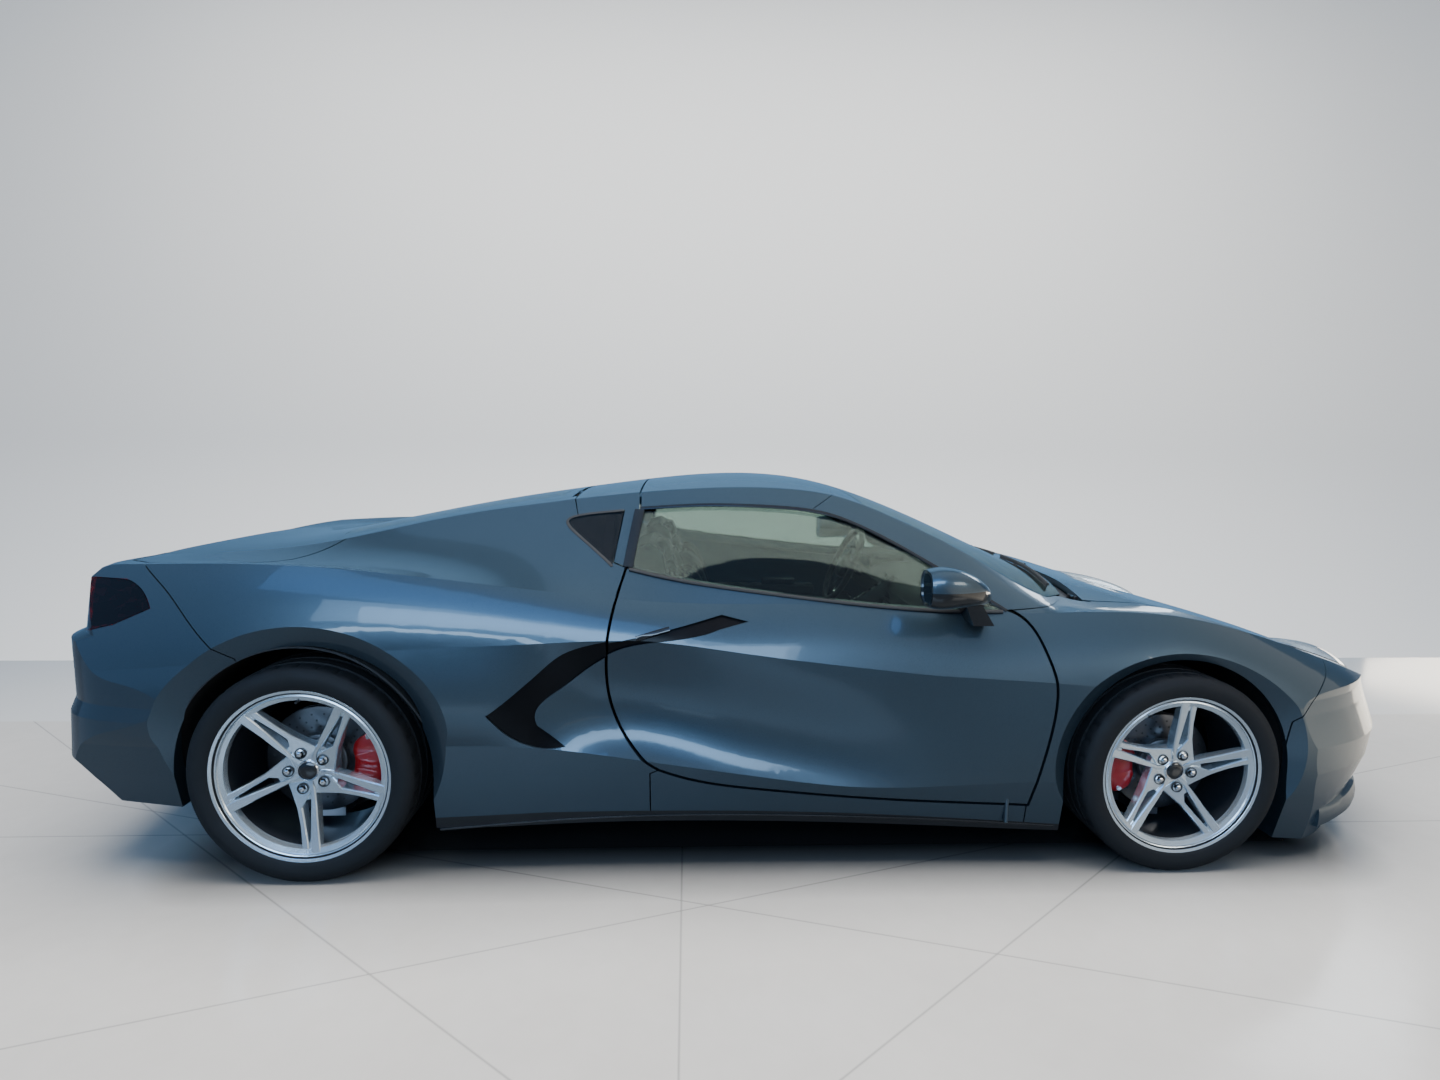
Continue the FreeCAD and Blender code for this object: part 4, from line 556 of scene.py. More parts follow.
# Profiles and spoke bars of a rim, as shares of the bead radius and the tyre width
BARREL = [
    (1.0, -0.44), (1.075, -0.445), (1.078, -0.462), (1.03, -0.466), (1.0, -0.46), (0.955, -0.41), (0.935, -0.2),
    (0.93, 0.1), (0.935, 0.3), (0.935, 0.4), (1.0, 0.4)]
LIP = [
    (0.918, 0.34), (0.918, 0.4), (0.924, 0.414), (0.97, 0.428), (0.982, 0.44), (0.996, 0.434), (1.01, 0.44),
    (1.03, 0.46), (1.06, 0.468), (1.078, 0.462), (1.078, 0.445), (1.0, 0.42), (0.99, 0.34)]
SPOKE_BARS = (
    [(0.07, -0.06, 0.03, 0.29, 0.14), (0.26, -0.006, 0.049, 0.315, 0.16), (0.45, -0.024, 0.053, 0.345, 0.16),
     (0.65, -0.042, 0.05, 0.375, 0.14), (0.84, -0.058, 0.054, 0.408, 0.12), (0.975, -0.06, 0.058, 0.43, 0.09)],
    [(0.13, -0.275, 0.0, 0.29, 0.12), (0.26, -0.24, -0.008, 0.308, 0.15), (0.44, -0.194, -0.125, 0.338, 0.16),
     (0.65, -0.171, -0.107, 0.368, 0.14), (0.84, -0.166, -0.088, 0.402, 0.12), (0.975, -0.168, -0.088, 0.424, 0.09)],
    [(0.3, -0.15, 0.0, 0.292, 0.09), (0.36, -0.15, -0.01, 0.3, 0.09)],
    [(0.86, -0.09, -0.056, 0.396, 0.08), (0.965, -0.09, -0.058, 0.412, 0.07)])


def make_rim(axle, side, name):
    body, place = "wheel_" + name, wheel_place(axle, side)
    width, bead, _, turn = WHEELS[axle][3:]
    sized = lambda rows: [(r * bead, w * width) for r, w in rows]
    # The barrel takes the alloy painted dark as painted shade.
    piece("barrel_" + name, turned(place, sized(BARREL)), BARREL_PAINTED_SHADE, body, True, 28)
    shells = [turned(place, sized(LIP), 160)]
    for i in range(ARMS):
        for stations in SPOKE_BARS:
            shells.append(spoke_bar(place, stations, math.radians(turn + 360 / ARMS * i), width, bead))
    hub = [(0.0, 0.1), (0.3, 0.1), (0.315, 0.2), (0.305, 0.262), (0.285, 0.285), (0.0, 0.292)]
    shells.append(turned(place, sized(hub), 60, False))
    made = piece("rim_body_" + name, joined(*shells), ALLOY, body, True, 28)
    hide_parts("rim_%s" % name)
    seats, nuts = [], []
    for i in range(ARMS):
        angle = math.radians(turn + 360 / ARMS * i) + math.atan2(-0.094, 0.21)
        local = stud_place(place(angle, 0.23 * bead, 0), side)
        for made, steps, rows in (
                (seats, 24, [(0.0, 0.296), (0.0135, 0.296), (0.015, 0.322), (0.0165, 0.322), (0.0172, 0.29)]),
                (nuts, 6, [(0.0, 0.352), (0.005, 0.35), (0.0088, 0.342), (0.01, 0.322), (0.0102, 0.29)])):
            made.append(turned(local, [(r, w * width) for r, w in rows], steps, False))
    piece("lug_seats_" + name, joined(*seats), DULL, body)
    piece("lug_nuts_" + name, joined(*nuts), CHROME, body, True, 25)
    cap = [(0.0, 0.322), (0.06, 0.321), (0.092, 0.316), (0.108, 0.306), (0.112, 0.28)]
    piece("hub_cap_" + name, turned(place, sized(cap), 48, False), GLOSS, body)
    ring = [(0.112, 0.28), (0.113, 0.312), (0.12, 0.314), (0.127, 0.308), (0.128, 0.28)]
    piece("cap_ring_" + name, turned(place, sized(ring), 48, False), CHROME, body)
    valve = [(0.0, 0.44 * width), (0.0038, 0.44 * width), (0.0042, 0.36 * width), (0.0042, 0.3 * width)]
    foot = stud_place(place(math.radians(turn + 30), 0.9 * bead, 0), side)
    piece("valve_" + name, turned(foot, valve, 12, False), DULL, body)


def make_disc(axle, side, name):
    body, place, radius = "wheel_" + name, wheel_place(axle, side), WHEELS[axle][5]
    scaled = lambda rows: [(share * radius, out) for share, out in rows]
    face = [(0.5, 0.0), (0.985, 0.0), (1.0, -0.0015), (1.0, -0.01), (0.97, -0.0105), (0.97, -0.0195), (1.0, -0.02),
            (1.0, -0.0285), (0.985, -0.03), (0.56, -0.03)]
    made = piece("disc_face_" + name, turned(place, scaled(face)), DISC, body)
    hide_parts("brake_disc_" + name)
    hat = [(0.0, 0.0145), (0.44, 0.0145), (0.485, 0.011), (0.5, 0.004), (0.5, -0.028), (0.17, -0.029)]
    piece("disc_hat_" + name, turned(place, scaled(hat), 72, False), CAST, body)
    # Dark plugs at the drilled holes: painted shade in place of open holes.
    holes = []
    for i in range(24):
        for step, r in enumerate((0.62, 0.74, 0.86)):
            centre = place(2 * math.pi * (i + step / 3.0) / 24, r * radius, 0)
            rim = [(centre.x + u, centre.y - side * 0.001, centre.z + v) for u, v in circle(8, 0.0035)]
            holes.append(bar(rim, (0, side * 0.0013, 0)))
    piece("disc_holes_" + name, joined(*holes), DULL, body, False)


def caliper_shell(axle, side):
    """A caliper bent round the disc, with its piston swellings and bolts."""
    place, (bead, radius) = wheel_place(axle, side), WHEELS[axle][4:6]
    start, edge = (math.pi if axle == "front" else 0.0), radius + 0.006
    inner, outer, back = 0.44 * bead, 0.82 * bead, -0.048
    sections, count = [], 30
    for i in range(count + 1):
        share = i / count
        angle = start + math.radians(62.0 * (share - 0.5))
        end_shape = min(1.0, 5.0 * share, 5.0 * (1 - share)) ** 0.5
        swell = 0.0045 * abs(math.sin(3 * math.pi * share)) ** 0.7 - 0.001
        low = inner + (1 - end_shape) * 0.03
        high = outer - (1 - end_shape) * 0.012
        rows = [(low, 0.007), (low, 0.02), (low + 0.006, 0.0255), (low + 0.02, 0.027 + swell),
                (high - 0.034, 0.027 + swell), (high - 0.016, 0.0245), (high - 0.004, 0.016), (high, 0.006),
                (high, back + 0.014), (high - 0.006, back + 0.004), (high - 0.016, back), (low + 0.006, back),
                (low, back + 0.006), (low, -0.037), (edge, -0.037), (edge, 0.007)]
        sections.append([place(angle, r, out) for r, out in rows])
    bolts = []
    for share in (0.06, 0.94):
        angle = start + math.radians(62.0 * (share - 0.5))
        centre = place(angle, 0.7 * bead, 0)
        for r0, low, high in ((0.0085, 0.018, 0.0275), (0.0055, 0.0275, 0.033)):
            local = stud_place(centre, side)
            bolts.append(lofted([[local(a, r0, out) for a in angles(12)] for out in (low, high)]))
    return lofted(sections), bolts


def make_calipers():
    for side, end in ENDS:
        shell, bolts = caliper_shell("front", side)
        made = piece("caliper_body_front_" + end, shell, RED, "front_knuckle_" + end, True, 32)
        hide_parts("caliper_front_" + end)
        piece("caliper_bolts_front_" + end, joined(*bolts), STEEL, "front_knuckle_" + end)
    (left, left_bolts), (right, right_bolts) = caliper_shell("rear", 1), caliper_shell("rear", -1)
    made = piece("caliper_bodies_rear", joined(left, right), RED, "chassis", True, 32)
    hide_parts("calipers_rear")
    piece("caliper_bolts_rear", joined(*left_bolts, *right_bolts), STEEL)


for axle in WHEELS:
    for side, end in ENDS:
        make_tyre(axle, side, axle + "_" + end)
        make_rim(axle, side, axle + "_" + end)
        make_disc(axle, side, axle + "_" + end)
make_calipers()


# Window surrounds, pillars and mirrors, with paths in side view as (x, z)

GLASS_TOP = [
    (0.704, 0.826), (0.64, 0.866), (0.554, 0.92), (0.389, 1.017), (0.227, 1.095), (0.102, 1.13), (-0.074, 1.144),
    (-0.276, 1.146), (-0.475, 1.132)]
BELT = [(0.69, 0.824), (0.456, 0.829), (0.132, 0.859), (-0.278, 0.909), (-0.5, 0.95)]
PILLAR = [(-0.478, 1.128), (-0.492, 1.05), (-0.506, 0.957)]
QUARTER_EDGE = [(-0.535, 1.124), (-0.688, 1.106), (-0.727, 1.081), (-0.655, 1.03), (-0.583, 0.98), (-0.556, 0.958)]


def on_side(skin, rows, side, steps=6):
    """A path in side view laid on the outermost surface near each point, evened out along its length."""
    laid = []
    for x, z in eased(rows, steps):
        best = None
        for a, b in ((0, 0), (0.014, 0), (-0.014, 0), (0, 0.014), (0, -0.014)):
            place, normal = skin.side(x + a, z + b, side)
            if abs(normal.y) < 0.3:
                continue
            y = place.y - (normal.x * (x - place.x) + normal.z * (z - place.z)) / normal.y
            if best is None or abs(y) > abs(best[0].y) + 0.0005:
                best = (Vector((x, y, z)), normal)
        if best:
            laid.append(best)
    for _ in range(3):
        laid = [laid[0]] + [
            (b[0] * 0.5 + (a[0] + c[0]) * 0.25, (b[1] * 2 + a[1] + c[1]).normalized())
            for a, b, c in zip(laid, laid[1:], laid[2:])] + [laid[-1]]
    return laid


for side, end in ENDS:
    around = Skin("door_glass_" + end, "windscreen_frame", "roof_panel", "roof_hoop", "quarter_" + end,
                  "quarter_windows", "fender_" + end)
    door = Skin("door_" + end, "door_glass_" + end)
    for name, skin, rows, steps, width, high, finish, body in (
            ("window_trim_", around, GLASS_TOP, 6, 0.013, 0.003, GLOSS, "chassis"),
            ("belt_seal_", door, BELT, 6, 0.012, 0.005, DULL, "door_" + end),
            ("pillar_strip_", around, PILLAR, 6, 0.034, 0.003, GLOSS, "chassis"),
            ("quarter_trim_", around, QUARTER_EDGE, 4, 0.01, 0.002, DULL, "chassis")):
        piece(name + end, ribbon(on_side(skin, rows, side, steps), width, high), finish, body)
    plate = [(0.3995, side * (0.962 + u), 0.924 + v) for u, v in circle(32, 0.055, 0.045, 0.6)]
    piece("mirror_glass_" + end, bar(plate, (0.003, 0, 0)), MIRROR, "door_" + end, False)


# Lamps, with the outline of a headlamp in plan as (x, y)

HEAD_OUTER = [(1.51, -0.806), (1.6, -0.806), (1.7, -0.798), (1.8, -0.778), (1.9, -0.732), (1.985, -0.674),
              (2.045, -0.618)]
HEAD_INNER = [(1.53, -0.765), (1.601, -0.698), (1.68, -0.655), (1.765, -0.616), (1.86, -0.576), (1.935, -0.56),
              (1.955, -0.556)]


def between_rows(first, second, share):
    return [tuple(a + (b - a) * share for a, b in zip(p, q)) for p, q in zip(first, second)]


def on_top(skin, rows, lift, steps=6):
    """A path in plan laid on the skin from above, raised by lift."""
    laid = []
    for x, y in eased(rows, steps):
        place, normal = skin.top(x, y)
        laid.append((place + normal * lift, normal))
    return laid


def on_lamp(skin, share, depth, side, start=0, end=7, steps=5):
    """A path along a headlamp, at a share of the way from its outer to its inner edge, sunk by depth."""
    rows = between_rows(HEAD_OUTER, HEAD_INNER, share)[start:end]
    return on_top(skin, [(x, -side * y) for x, y in rows], -depth, steps)


def make_headlamp(side, end):
    skin = Skin("headlamps")
    back = [on_lamp(skin, v, 0.0215, side) for v in (0.06, 0.22, 0.4, 0.58, 0.76, 0.94)]
    piece("headlamp_back_" + end, patch(back, 0.001), LAMP_BACK)
    dome = []
    for v in range(13):
        v = 0.03 + 0.94 * v / 12
        row = on_lamp(skin, v, -0.0015, side, 1, 7, 6)
        count = len(row) - 1
        bulge = [0.034 * math.sin(math.pi * v) ** 0.8 * math.sin(math.pi * (k / count) ** 1.15) ** 0.9
                 for k in range(count + 1)]
        dome.append([(place + (normal + Vector((0, 0, 0.6))).normalized() * more, normal)
                     for (place, normal), more in zip(row, bulge)])
    piece("headlamp_dome_" + end, patch(dome, 0.003), LENS)
    wedge = [on_lamp(skin, v, 0.004, side, 0, 3) for v in (0.08, 0.36, 0.64, 0.92)]
    piece("headlamp_wedge_" + end, patch(wedge, 0.002), GLOSS)
    shells = []
    for row, step in ((2, 0.38), (3, 0.42), (4, 0.46)):
        x, y = between_rows(HEAD_OUTER, HEAD_INNER, step)[row]
        place, normal = skin.top(x + 0.03, -side * y)
        core = place - normal * 0.0205
        across = normal.cross(Vector((1, 0, 0))).normalized()
        along = across.cross(normal).normalized()
        sections = []
        for wide, lift in ((0.034, 0.0), (0.034, 0.006), (0.03, 0.011), (0.026, 0.009), (0.02, 0.003)):
            sections.append([core + normal * lift + along * u + across * v
                             for u, v in circle(24, wide, wide * 0.72, 0.5)])
        shells.append(lofted(sections))
    piece("headlamp_units_" + end, joined(*shells), CHROME)
    glow = ribbon(on_lamp(skin, 0.9, 0.016, side, 1), 0.01, 0.004)
    blade = ribbon(on_lamp(skin, 0.1, 0.016, side, 3), 0.008, 0.004)
    piece("headlamp_strip_" + end, joined(glow, blade), GLOW)


def make_tail_lamp(side, end):
    """Two light bars across and two short ones up, sunk under the cover."""
    skin = Skin("tail_lamps")
    shells = []
    for y, z, along, up, steps, width in (
            (0.47, 0.885, 0.33, 0.0, 15, 0.016), (0.47, 0.8, 0.35, 0.0, 15, 0.016),
            (0.5, 0.805, 0.012, 0.075, 5, 0.012), (0.66, 0.805, 0.012, 0.075, 5, 0.012)):
        laid = [skin.back(side * (y + along * k / steps), z + up * k / steps) for k in range(steps + 1)]
        shells.append(ribbon([(place - normal * 0.012, normal) for place, normal in laid], width, 0.004))
    piece("tail_lamp_bars_" + end, joined(*shells), RED_GLOW)


for side, end in ENDS:
    make_headlamp(side, end)
    make_tail_lamp(side, end)


# Cabin

def pad(name, path, half, thick, middle, lean=0.0):
    """A stuffed seat pad: a path in side view through its middle, its half width and its thickness."""
    laid = [Vector((x, middle, z)) for x, z in path]
    sections = []
    count = len(laid)
    for i, p in enumerate(laid):
        along = grown_normal(laid, i)
        up = Vector((-along.z, 0, along.x))
        share = i / (count - 1)
        swell = (1 - abs(2 * share - 1) ** 6) ** 0.5 if 0 < share < 1 else 0.35
        ring = []
        for a in angles(20):
            wide = half * (0.9 + 0.1 * swell) * boxy(math.cos(a), 0.55)
            high = thick / 2 * swell * boxy(math.sin(a), 0.7)
            ring.append(p + Vector((0, wide, 0)) + up * (high + lean * wide))
        sections.append(ring)
    made = piece(name, lofted(sections), TRIM)
    modifier = made.modifiers.new("round", "SUBSURF")
    modifier.levels = modifier.render_levels = 1


def steps_between(start, end, count, bow=0.0):
    """A path of so many points, bowed to one side."""
    (a, b), (c, e) = start, end
    last = count - 1
    return [(a + (c - a) * i / last - bow * math.sin(math.pi * i / last) * (e - b),
             b + (e - b) * i / last + bow * math.sin(math.pi * i / last) * (c - a)) for i in range(count)]


for side, end in ENDS:
    middle = side * 0.387
    for i in range(4):
        x = -0.19 + 0.105 * i
        path = steps_between((x, 0.404 + 0.012 * i), (x + 0.1, 0.412 + 0.014 * i), 7)
        pad("seat_cushion%d_%s" % (i, end), path, 0.112, 0.06, middle)
    for i in range(5):
        x, z = -0.238 - 0.032 * i, 0.452 + 0.098 * i
        pad("seat_back%d_%s" % (i, end), steps_between((x, z), (x - 0.028, z + 0.094), 7), 0.108, 0.06, middle)
    for turn, way in (("a", 1), ("b", -1)):
        y = middle + way * 0.152
        low_path = steps_between((-0.2, 0.445), (0.215, 0.47), 12, 0.02)
        high_path = steps_between((-0.222, 0.5), (-0.335, 0.885), 12, -0.03)
        pad("seat_wing_%s_%s" % (turn, end), low_path, 0.042, 0.085, y, way * 0.25)
        pad("seat_side_%s_%s" % (turn, end), high_path, 0.04, 0.095, y, way * 0.3)
    pad("seat_head_" + end, steps_between((-0.395, 0.925), (-0.428, 1.0), 8), 0.1, 0.08, middle)

WHEEL_CENTRE, WHEEL_AXIS = Vector((0.4194, 0.3704, 0.7996)), Vector((-0.906, 0, 0.423)).normalized()
wheel_up = Vector((0.423, 0, 0.906)).normalized()
wheel_side = WHEEL_AXIS.cross(wheel_up).normalized()


def on_wheel(across, up, out):
    """A point of the steering wheel's own plane, and out of it towards the driver."""
    return WHEEL_CENTRE + wheel_side * across + wheel_up * up + WHEEL_AXIS * out


ring = []
for core in map(Vector, circle(72, 0.178)):
    out = core.normalized()
    ring.append([on_wheel(core.x + out.x * 0.0155 * math.cos(b), core.y + out.y * 0.0155 * math.cos(b),
                          0.0145 * math.sin(b)) for b in angles(14)])
spokes = []
for start, stop, wide, thin in (((-0.168, 0.0), (-0.045, -0.012), 0.03, 0.009),
                                ((0.168, 0.0), (0.045, -0.012), 0.03, 0.009),
                                ((0.0, -0.168), (0.0, -0.05), 0.034, 0.008)):
    a, b = Vector(start), Vector(stop)
    n = Vector((-(b - a).y, (b - a).x)).normalized()
    sections = []
    for share, half, out in ((0.0, 0.75, 0.0), (0.4, 0.85, -0.004), (1.0, 1.25, -0.01)):
        m = a + (b - a) * share
        reach = n * wide * half * 0.5
        sections.append([on_wheel(m.x + reach.x * u, m.y + reach.y * u, out + thin * v) for u, v in (
            (-1, -0.5), (-0.8, 0.6), (0, 0.9), (0.8, 0.6), (1, -0.5), (0, -0.9))])
    spokes.append(lofted(sections))
wheel_rim = piece("steering_rim", lofted(ring, True), TRIM, "steering_wheel")
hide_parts("steering_wheel")
piece("steering_spokes", joined(*spokes), GLOSS, "steering_wheel")
hub = []
for size, out in ((0.9, -0.03), (1.0, -0.012), (1.0, 0.004), (0.92, 0.014), (0.6, 0.02), (0.05, 0.022)):
    hub.append([on_wheel(u, v - 0.006, out) for u, v in circle(32, 0.062 * size, 0.054 * size, 0.7)])
piece("steering_pad", lofted(hub), TRIM, "steering_wheel")
ring_trim = tube([on_wheel(u, v - 0.006, 0.018) for u, v in circle(32, 0.034, more=1)], 0.0022, 8)
piece("steering_ring", ring_trim, CHROME, "steering_wheel")
for side, end in ENDS:
    shift = [on_wheel(side * x, y, -0.026)
             for x, y in ((0.055, 0.012), (0.105, 0.02), (0.118, 0.062), (0.1, 0.072), (0.06, 0.04))]
    piece("shift_paddle_" + end, bar(shift, -WHEEL_AXIS * 0.004), GLOSS, "steering_wheel", False)


# Dashboard, console and door cards

def slabs(name, boxes, finish, width, segments=2, body="chassis"):
    """Boxes given by two corners each, with edges bevelled by width."""
    made = piece(name, joined(*[box(low, high) for low, high in boxes]), finish, body, True, 30)
    bevelled(made, width, segments)


cluster = []
for y, grow in ((0.235, 0.7), (0.25, 0.95), (0.3, 1.0), (0.37, 1.03), (0.44, 1.0), (0.49, 0.95),
                (0.505, 0.7)):
    cluster.append([(0.61 + (x - 0.61) * grow, y, 0.8 + (z - 0.8) * grow) for x, z in (
        (0.53, 0.785), (0.522, 0.85), (0.535, 0.872), (0.6, 0.878), (0.69, 0.862), (0.72, 0.8))])
bevelled(piece("dash_binnacle", lofted(cluster), TRIM), 0.004)
slabs("dash_cluster_face", [((0.518, 0.262, 0.792), (0.523, 0.478, 0.846))], SCREEN, 0.0015)
screen = [(0.482, -0.03, 0.69), (0.52, 0.175, 0.69), (0.56, 0.175, 0.815), (0.522, -0.03, 0.815)]
screen = bar(screen, (0.022, -0.004, -0.006))
bevelled(piece("dash_screen", screen, SCREEN, "chassis", False), 0.003)
slabs("dash_vents", [((0.502, y, z), (0.512, y + 0.085, z + 0.004)) for y in (-0.56, -0.155, 0.515)
                     for z in (0.735, 0.743, 0.751, 0.759)], GLOSS, 0.001, 1)
strip = tube([(0.498, y, 0.722) for y in (-0.585, -0.4, -0.2, -0.05)], 0.004, 8)
piece("dash_strip", strip, CHROME)
ridge = []
for x, z, wide, tall in ((0.535, 0.8, 0.016, 0.03), (0.4, 0.705, 0.018, 0.036), (0.25, 0.625, 0.02, 0.04),
                         (0.08, 0.572, 0.021, 0.042), (-0.06, 0.552, 0.018, 0.03)):
    ridge.append([(x, -0.098 + wide * u, z + tall * v) for u, v in (
        (-1, -1), (-1, 0.5), (-0.6, 1), (0.6, 1), (1, 0.5), (1, -1))])
bevelled(piece("console_ridge", lofted(ridge), TRIM), 0.003)
keys = []
for i in range(16):
    share = i / 15
    x, z = 0.49 - 0.38 * share, 0.8 - 0.2 * share - 0.018 * math.sin(math.pi * share)
    keys.append(((x - 0.008, -0.108, z - 0.006), (x + 0.008, -0.088, z + 0.002)))
slabs("console_keys", keys, GLOSS, 0.0015, 1)
slabs("console_lid", [((-0.33, -0.085, 0.543), (-0.09, 0.085, 0.572))], TRIM, 0.012, 3)
slabs("console_pads", [((-0.07, -0.06, 0.543), (0.06, 0.06, 0.556)),
                       ((0.09, -0.02, 0.543), (0.15, 0.06, 0.566))], GLOSS, 0.006)
slabs("cup_rims", [((0.18, -0.062, 0.543), (0.262, 0.062, 0.549))], DULL, 0.002)
DOOR_LINING = 0.722
SPEAKER_X, SPEAKER_Z = 0.47, 0.54
for side, end in ENDS:
    corners = lambda a, b: tuple(zip(*(sorted((u, v)) for u, v in zip(a, b))))
    arm = corners((-0.25, side * 0.655, 0.6), (0.33, side * DOOR_LINING, 0.655))
    pull = corners((0.06, side * 0.64, 0.655), (0.23, side * 0.668, 0.69))
    pocket = corners((-0.12, side * 0.69, 0.33), (0.48, side * DOOR_LINING, 0.44))
    slabs("door_rest_" + end, [arm, pocket], TRIM, 0.014, 3, body="door_" + end)
    slabs("door_pull_" + end, [pull], GLOSS, 0.01, 3, body="door_" + end)
    around = [(SPEAKER_X + u, side * 0.716, SPEAKER_Z + v) for u, v in circle(40, 0.075, more=1)]
    piece("speaker_ring_" + end, tube(around, 0.004, 8), CHROME, "door_" + end)
    plate = [(SPEAKER_X + u, side * 0.7195, SPEAKER_Z + v) for u, v in circle(40, 0.073)]
    piece("speaker_mesh_" + end, bar(plate, (0, -side * 0.003, 0)), GRILLE, "door_" + end, False)
pedals = [((0.8, 0.285, 0.3), (0.812, 0.345, 0.38)), ((0.79, 0.4, 0.32), (0.802, 0.5, 0.375)),
          ((0.83, 0.53, 0.29), (0.842, 0.57, 0.37))]
slabs("pedals", pedals, STEEL, 0.004)
slabs("cabin_mirror", [((0.345, -0.115, 1.062), (0.362, 0.115, 1.115))], GLOSS, 0.008, 3)
foot = tube([(0.36, 0, 1.1), (0.385, 0, 1.118), (0.4, 0, 1.135)], 0.009)
piece("cabin_mirror_foot", foot, DULL)


# Chin blade, exhaust inners, door buttons, sill lines and fuel door ring

LIP_END = 0.865


def front_lip():
    """Chin blade in body colour round the nose, thin at its ends."""
    skin = Skin("front_fascia", "front_grilles", "fender_left", "fender_right")
    plan = [skin.front(y, 0.16)[0] for y in [0.02 * i for i in range(42)] + [0.85, LIP_END]]
    for _ in range(4):
        plan = [plan[0]] + [(a + 2 * b + c) / 4 for a, b, c in zip(plan, plan[1:], plan[2:])] + [plan[-1]]
    plan = [Vector((p.x, -p.y, p.z)) for p in reversed(plan[1:])] + plan
    sections = []
    for i, p in enumerate(plan):
        along = grown_normal(plan, i)
        out = Vector((abs(along.y), math.copysign(abs(along.x), p.y), 0)).normalized()
        grow = min(1.0, max(0.0, (LIP_END - abs(p.y)) / 0.19)) ** 0.8
        tip = 0.006 + 0.034 * grow
        lift = 0.03 * grow * min(1.0, abs(p.y) / 0.55) ** 2
        sections.append([Vector((p.x, p.y, z)) + out * a for a, z in (
            (-0.03, 0.108), (tip * 0.5, 0.112), (tip * 0.9, 0.124), (tip, 0.14), (tip, 0.152 + lift * 0.5),
            (tip * 0.86, 0.166 + lift), (tip * 0.3, 0.178 + lift), (-0.03, 0.188 + lift))])
    return lofted(sections)


piece("front_lip", front_lip(), PAINT)
EXHAUST_HEIGHT = 0.35786
# Dark discs just inside the exhaust tips: painted shade in the hollow pipes.
inners = []
for y in (-0.71075, -0.61888, 0.71075, 0.61888):
    inners.append(lofted([[(x, y + u, EXHAUST_HEIGHT + v) for u, v in circle(32, 0.0335)] for x in (-2.15, -2.156)]))
piece("exhaust_inners", joined(*inners), DULL)

for side, end in ENDS:
    button = Skin("door_blade_" + end, "door_" + end)
    handle = on_side(button, [(-0.47, 0.765), (-0.42, 0.779), (-0.37, 0.791)], side, 5)
    piece("door_button_" + end, ribbon(handle, 0.016, 0.004), GLOSS, "door_" + end)
    sill = Skin("rockers", "side_skirts", "quarter_" + end, "fender_" + end)
    line = on_side(sill, [(-1.08, 0.15), (-0.7, 0.178), (-0.3, 0.19), (0.15, 0.182), (0.55, 0.162),
                          (0.86, 0.14)], side)
    piece("sill_line_" + end, ribbon(line, 0.008, 0.003), GLOSS)
quarter = Skin("quarter_left")
ring = [quarter.side(-0.98 + u, 0.86 + v, 1) for u, v in circle(48, 0.075, more=1)]
piece("fuel_door_ring", ribbon(ring, 0.004, 0.0012), DULL)


# Wipers

screen_skin = Skin("windscreen", "cowl", "windscreen_frame")
for name, blade, foot, tip in (
        ("right", [(0.935, -0.6), (0.975, -0.33), (0.992, -0.06)], (1.052, -0.075), (0.985, -0.3)),
        ("left", [(0.99, 0.01), (0.972, 0.29), (0.925, 0.56)], (1.045, 0.45), (0.978, 0.24))):
    laid = on_top(screen_skin, blade, 0.006)
    rail = ribbon([(p + n * 0.004, n) for p, n in laid], 0.01, 0.007, 0.001)
    wiper = joined(ribbon(laid, 0.004, 0.005, 0.005), rail)
    piece("wiper_blade_" + name, wiper, DULL)
    start = screen_skin.top(*foot)[0]
    stop, out = screen_skin.top(*tip)
    bent = eased([start, start + Vector((-0.004, 0, 0.022)), start.lerp(stop, 0.35) + Vector((0, 0, 0.026)),
                  stop + out * 0.017], 5)
    piece("wiper_arm_" + name, tube(bent, lambda share: 0.0075 - 0.004 * share, 10), BLACK)


# Camera, floor and light

SHADE_HALF_LENGTH, SHADE_HALF_WIDTH = 1.75, 0.74
FAR, WALL_FOOT, WALL, BEND, WALL_TOP = 30.0, 1.6, 3.0, 1.4, 9.0
UNDER = -0.004
EYE = Vector((-0.3142, -3.1682, 1.3213))
YAW, PITCH, ROLL = -0.0419, 0.1146, 0.0092
ahead = Vector((-math.sin(YAW) * math.cos(PITCH), math.cos(YAW) * math.cos(PITCH), -math.sin(PITCH)))
level_right = Vector((math.cos(YAW), math.sin(YAW), 0.0))
level_up = level_right.cross(ahead)
cam_right = math.cos(ROLL) * level_right + math.sin(ROLL) * level_up
cam_up = -math.sin(ROLL) * level_right + math.cos(ROLL) * level_up
camera = bpy.data.objects.new("camera", bpy.data.cameras.new("camera"))
bpy.context.scene.collection.objects.link(camera)
camera.data.sensor_width = 36.0
camera.data.lens = 18.995
camera.matrix_world = Matrix([(cam_right[i], cam_up[i], -ahead[i], EYE[i]) for i in range(3)] + [(0, 0, 0, 1)])
bpy.context.scene.camera = camera


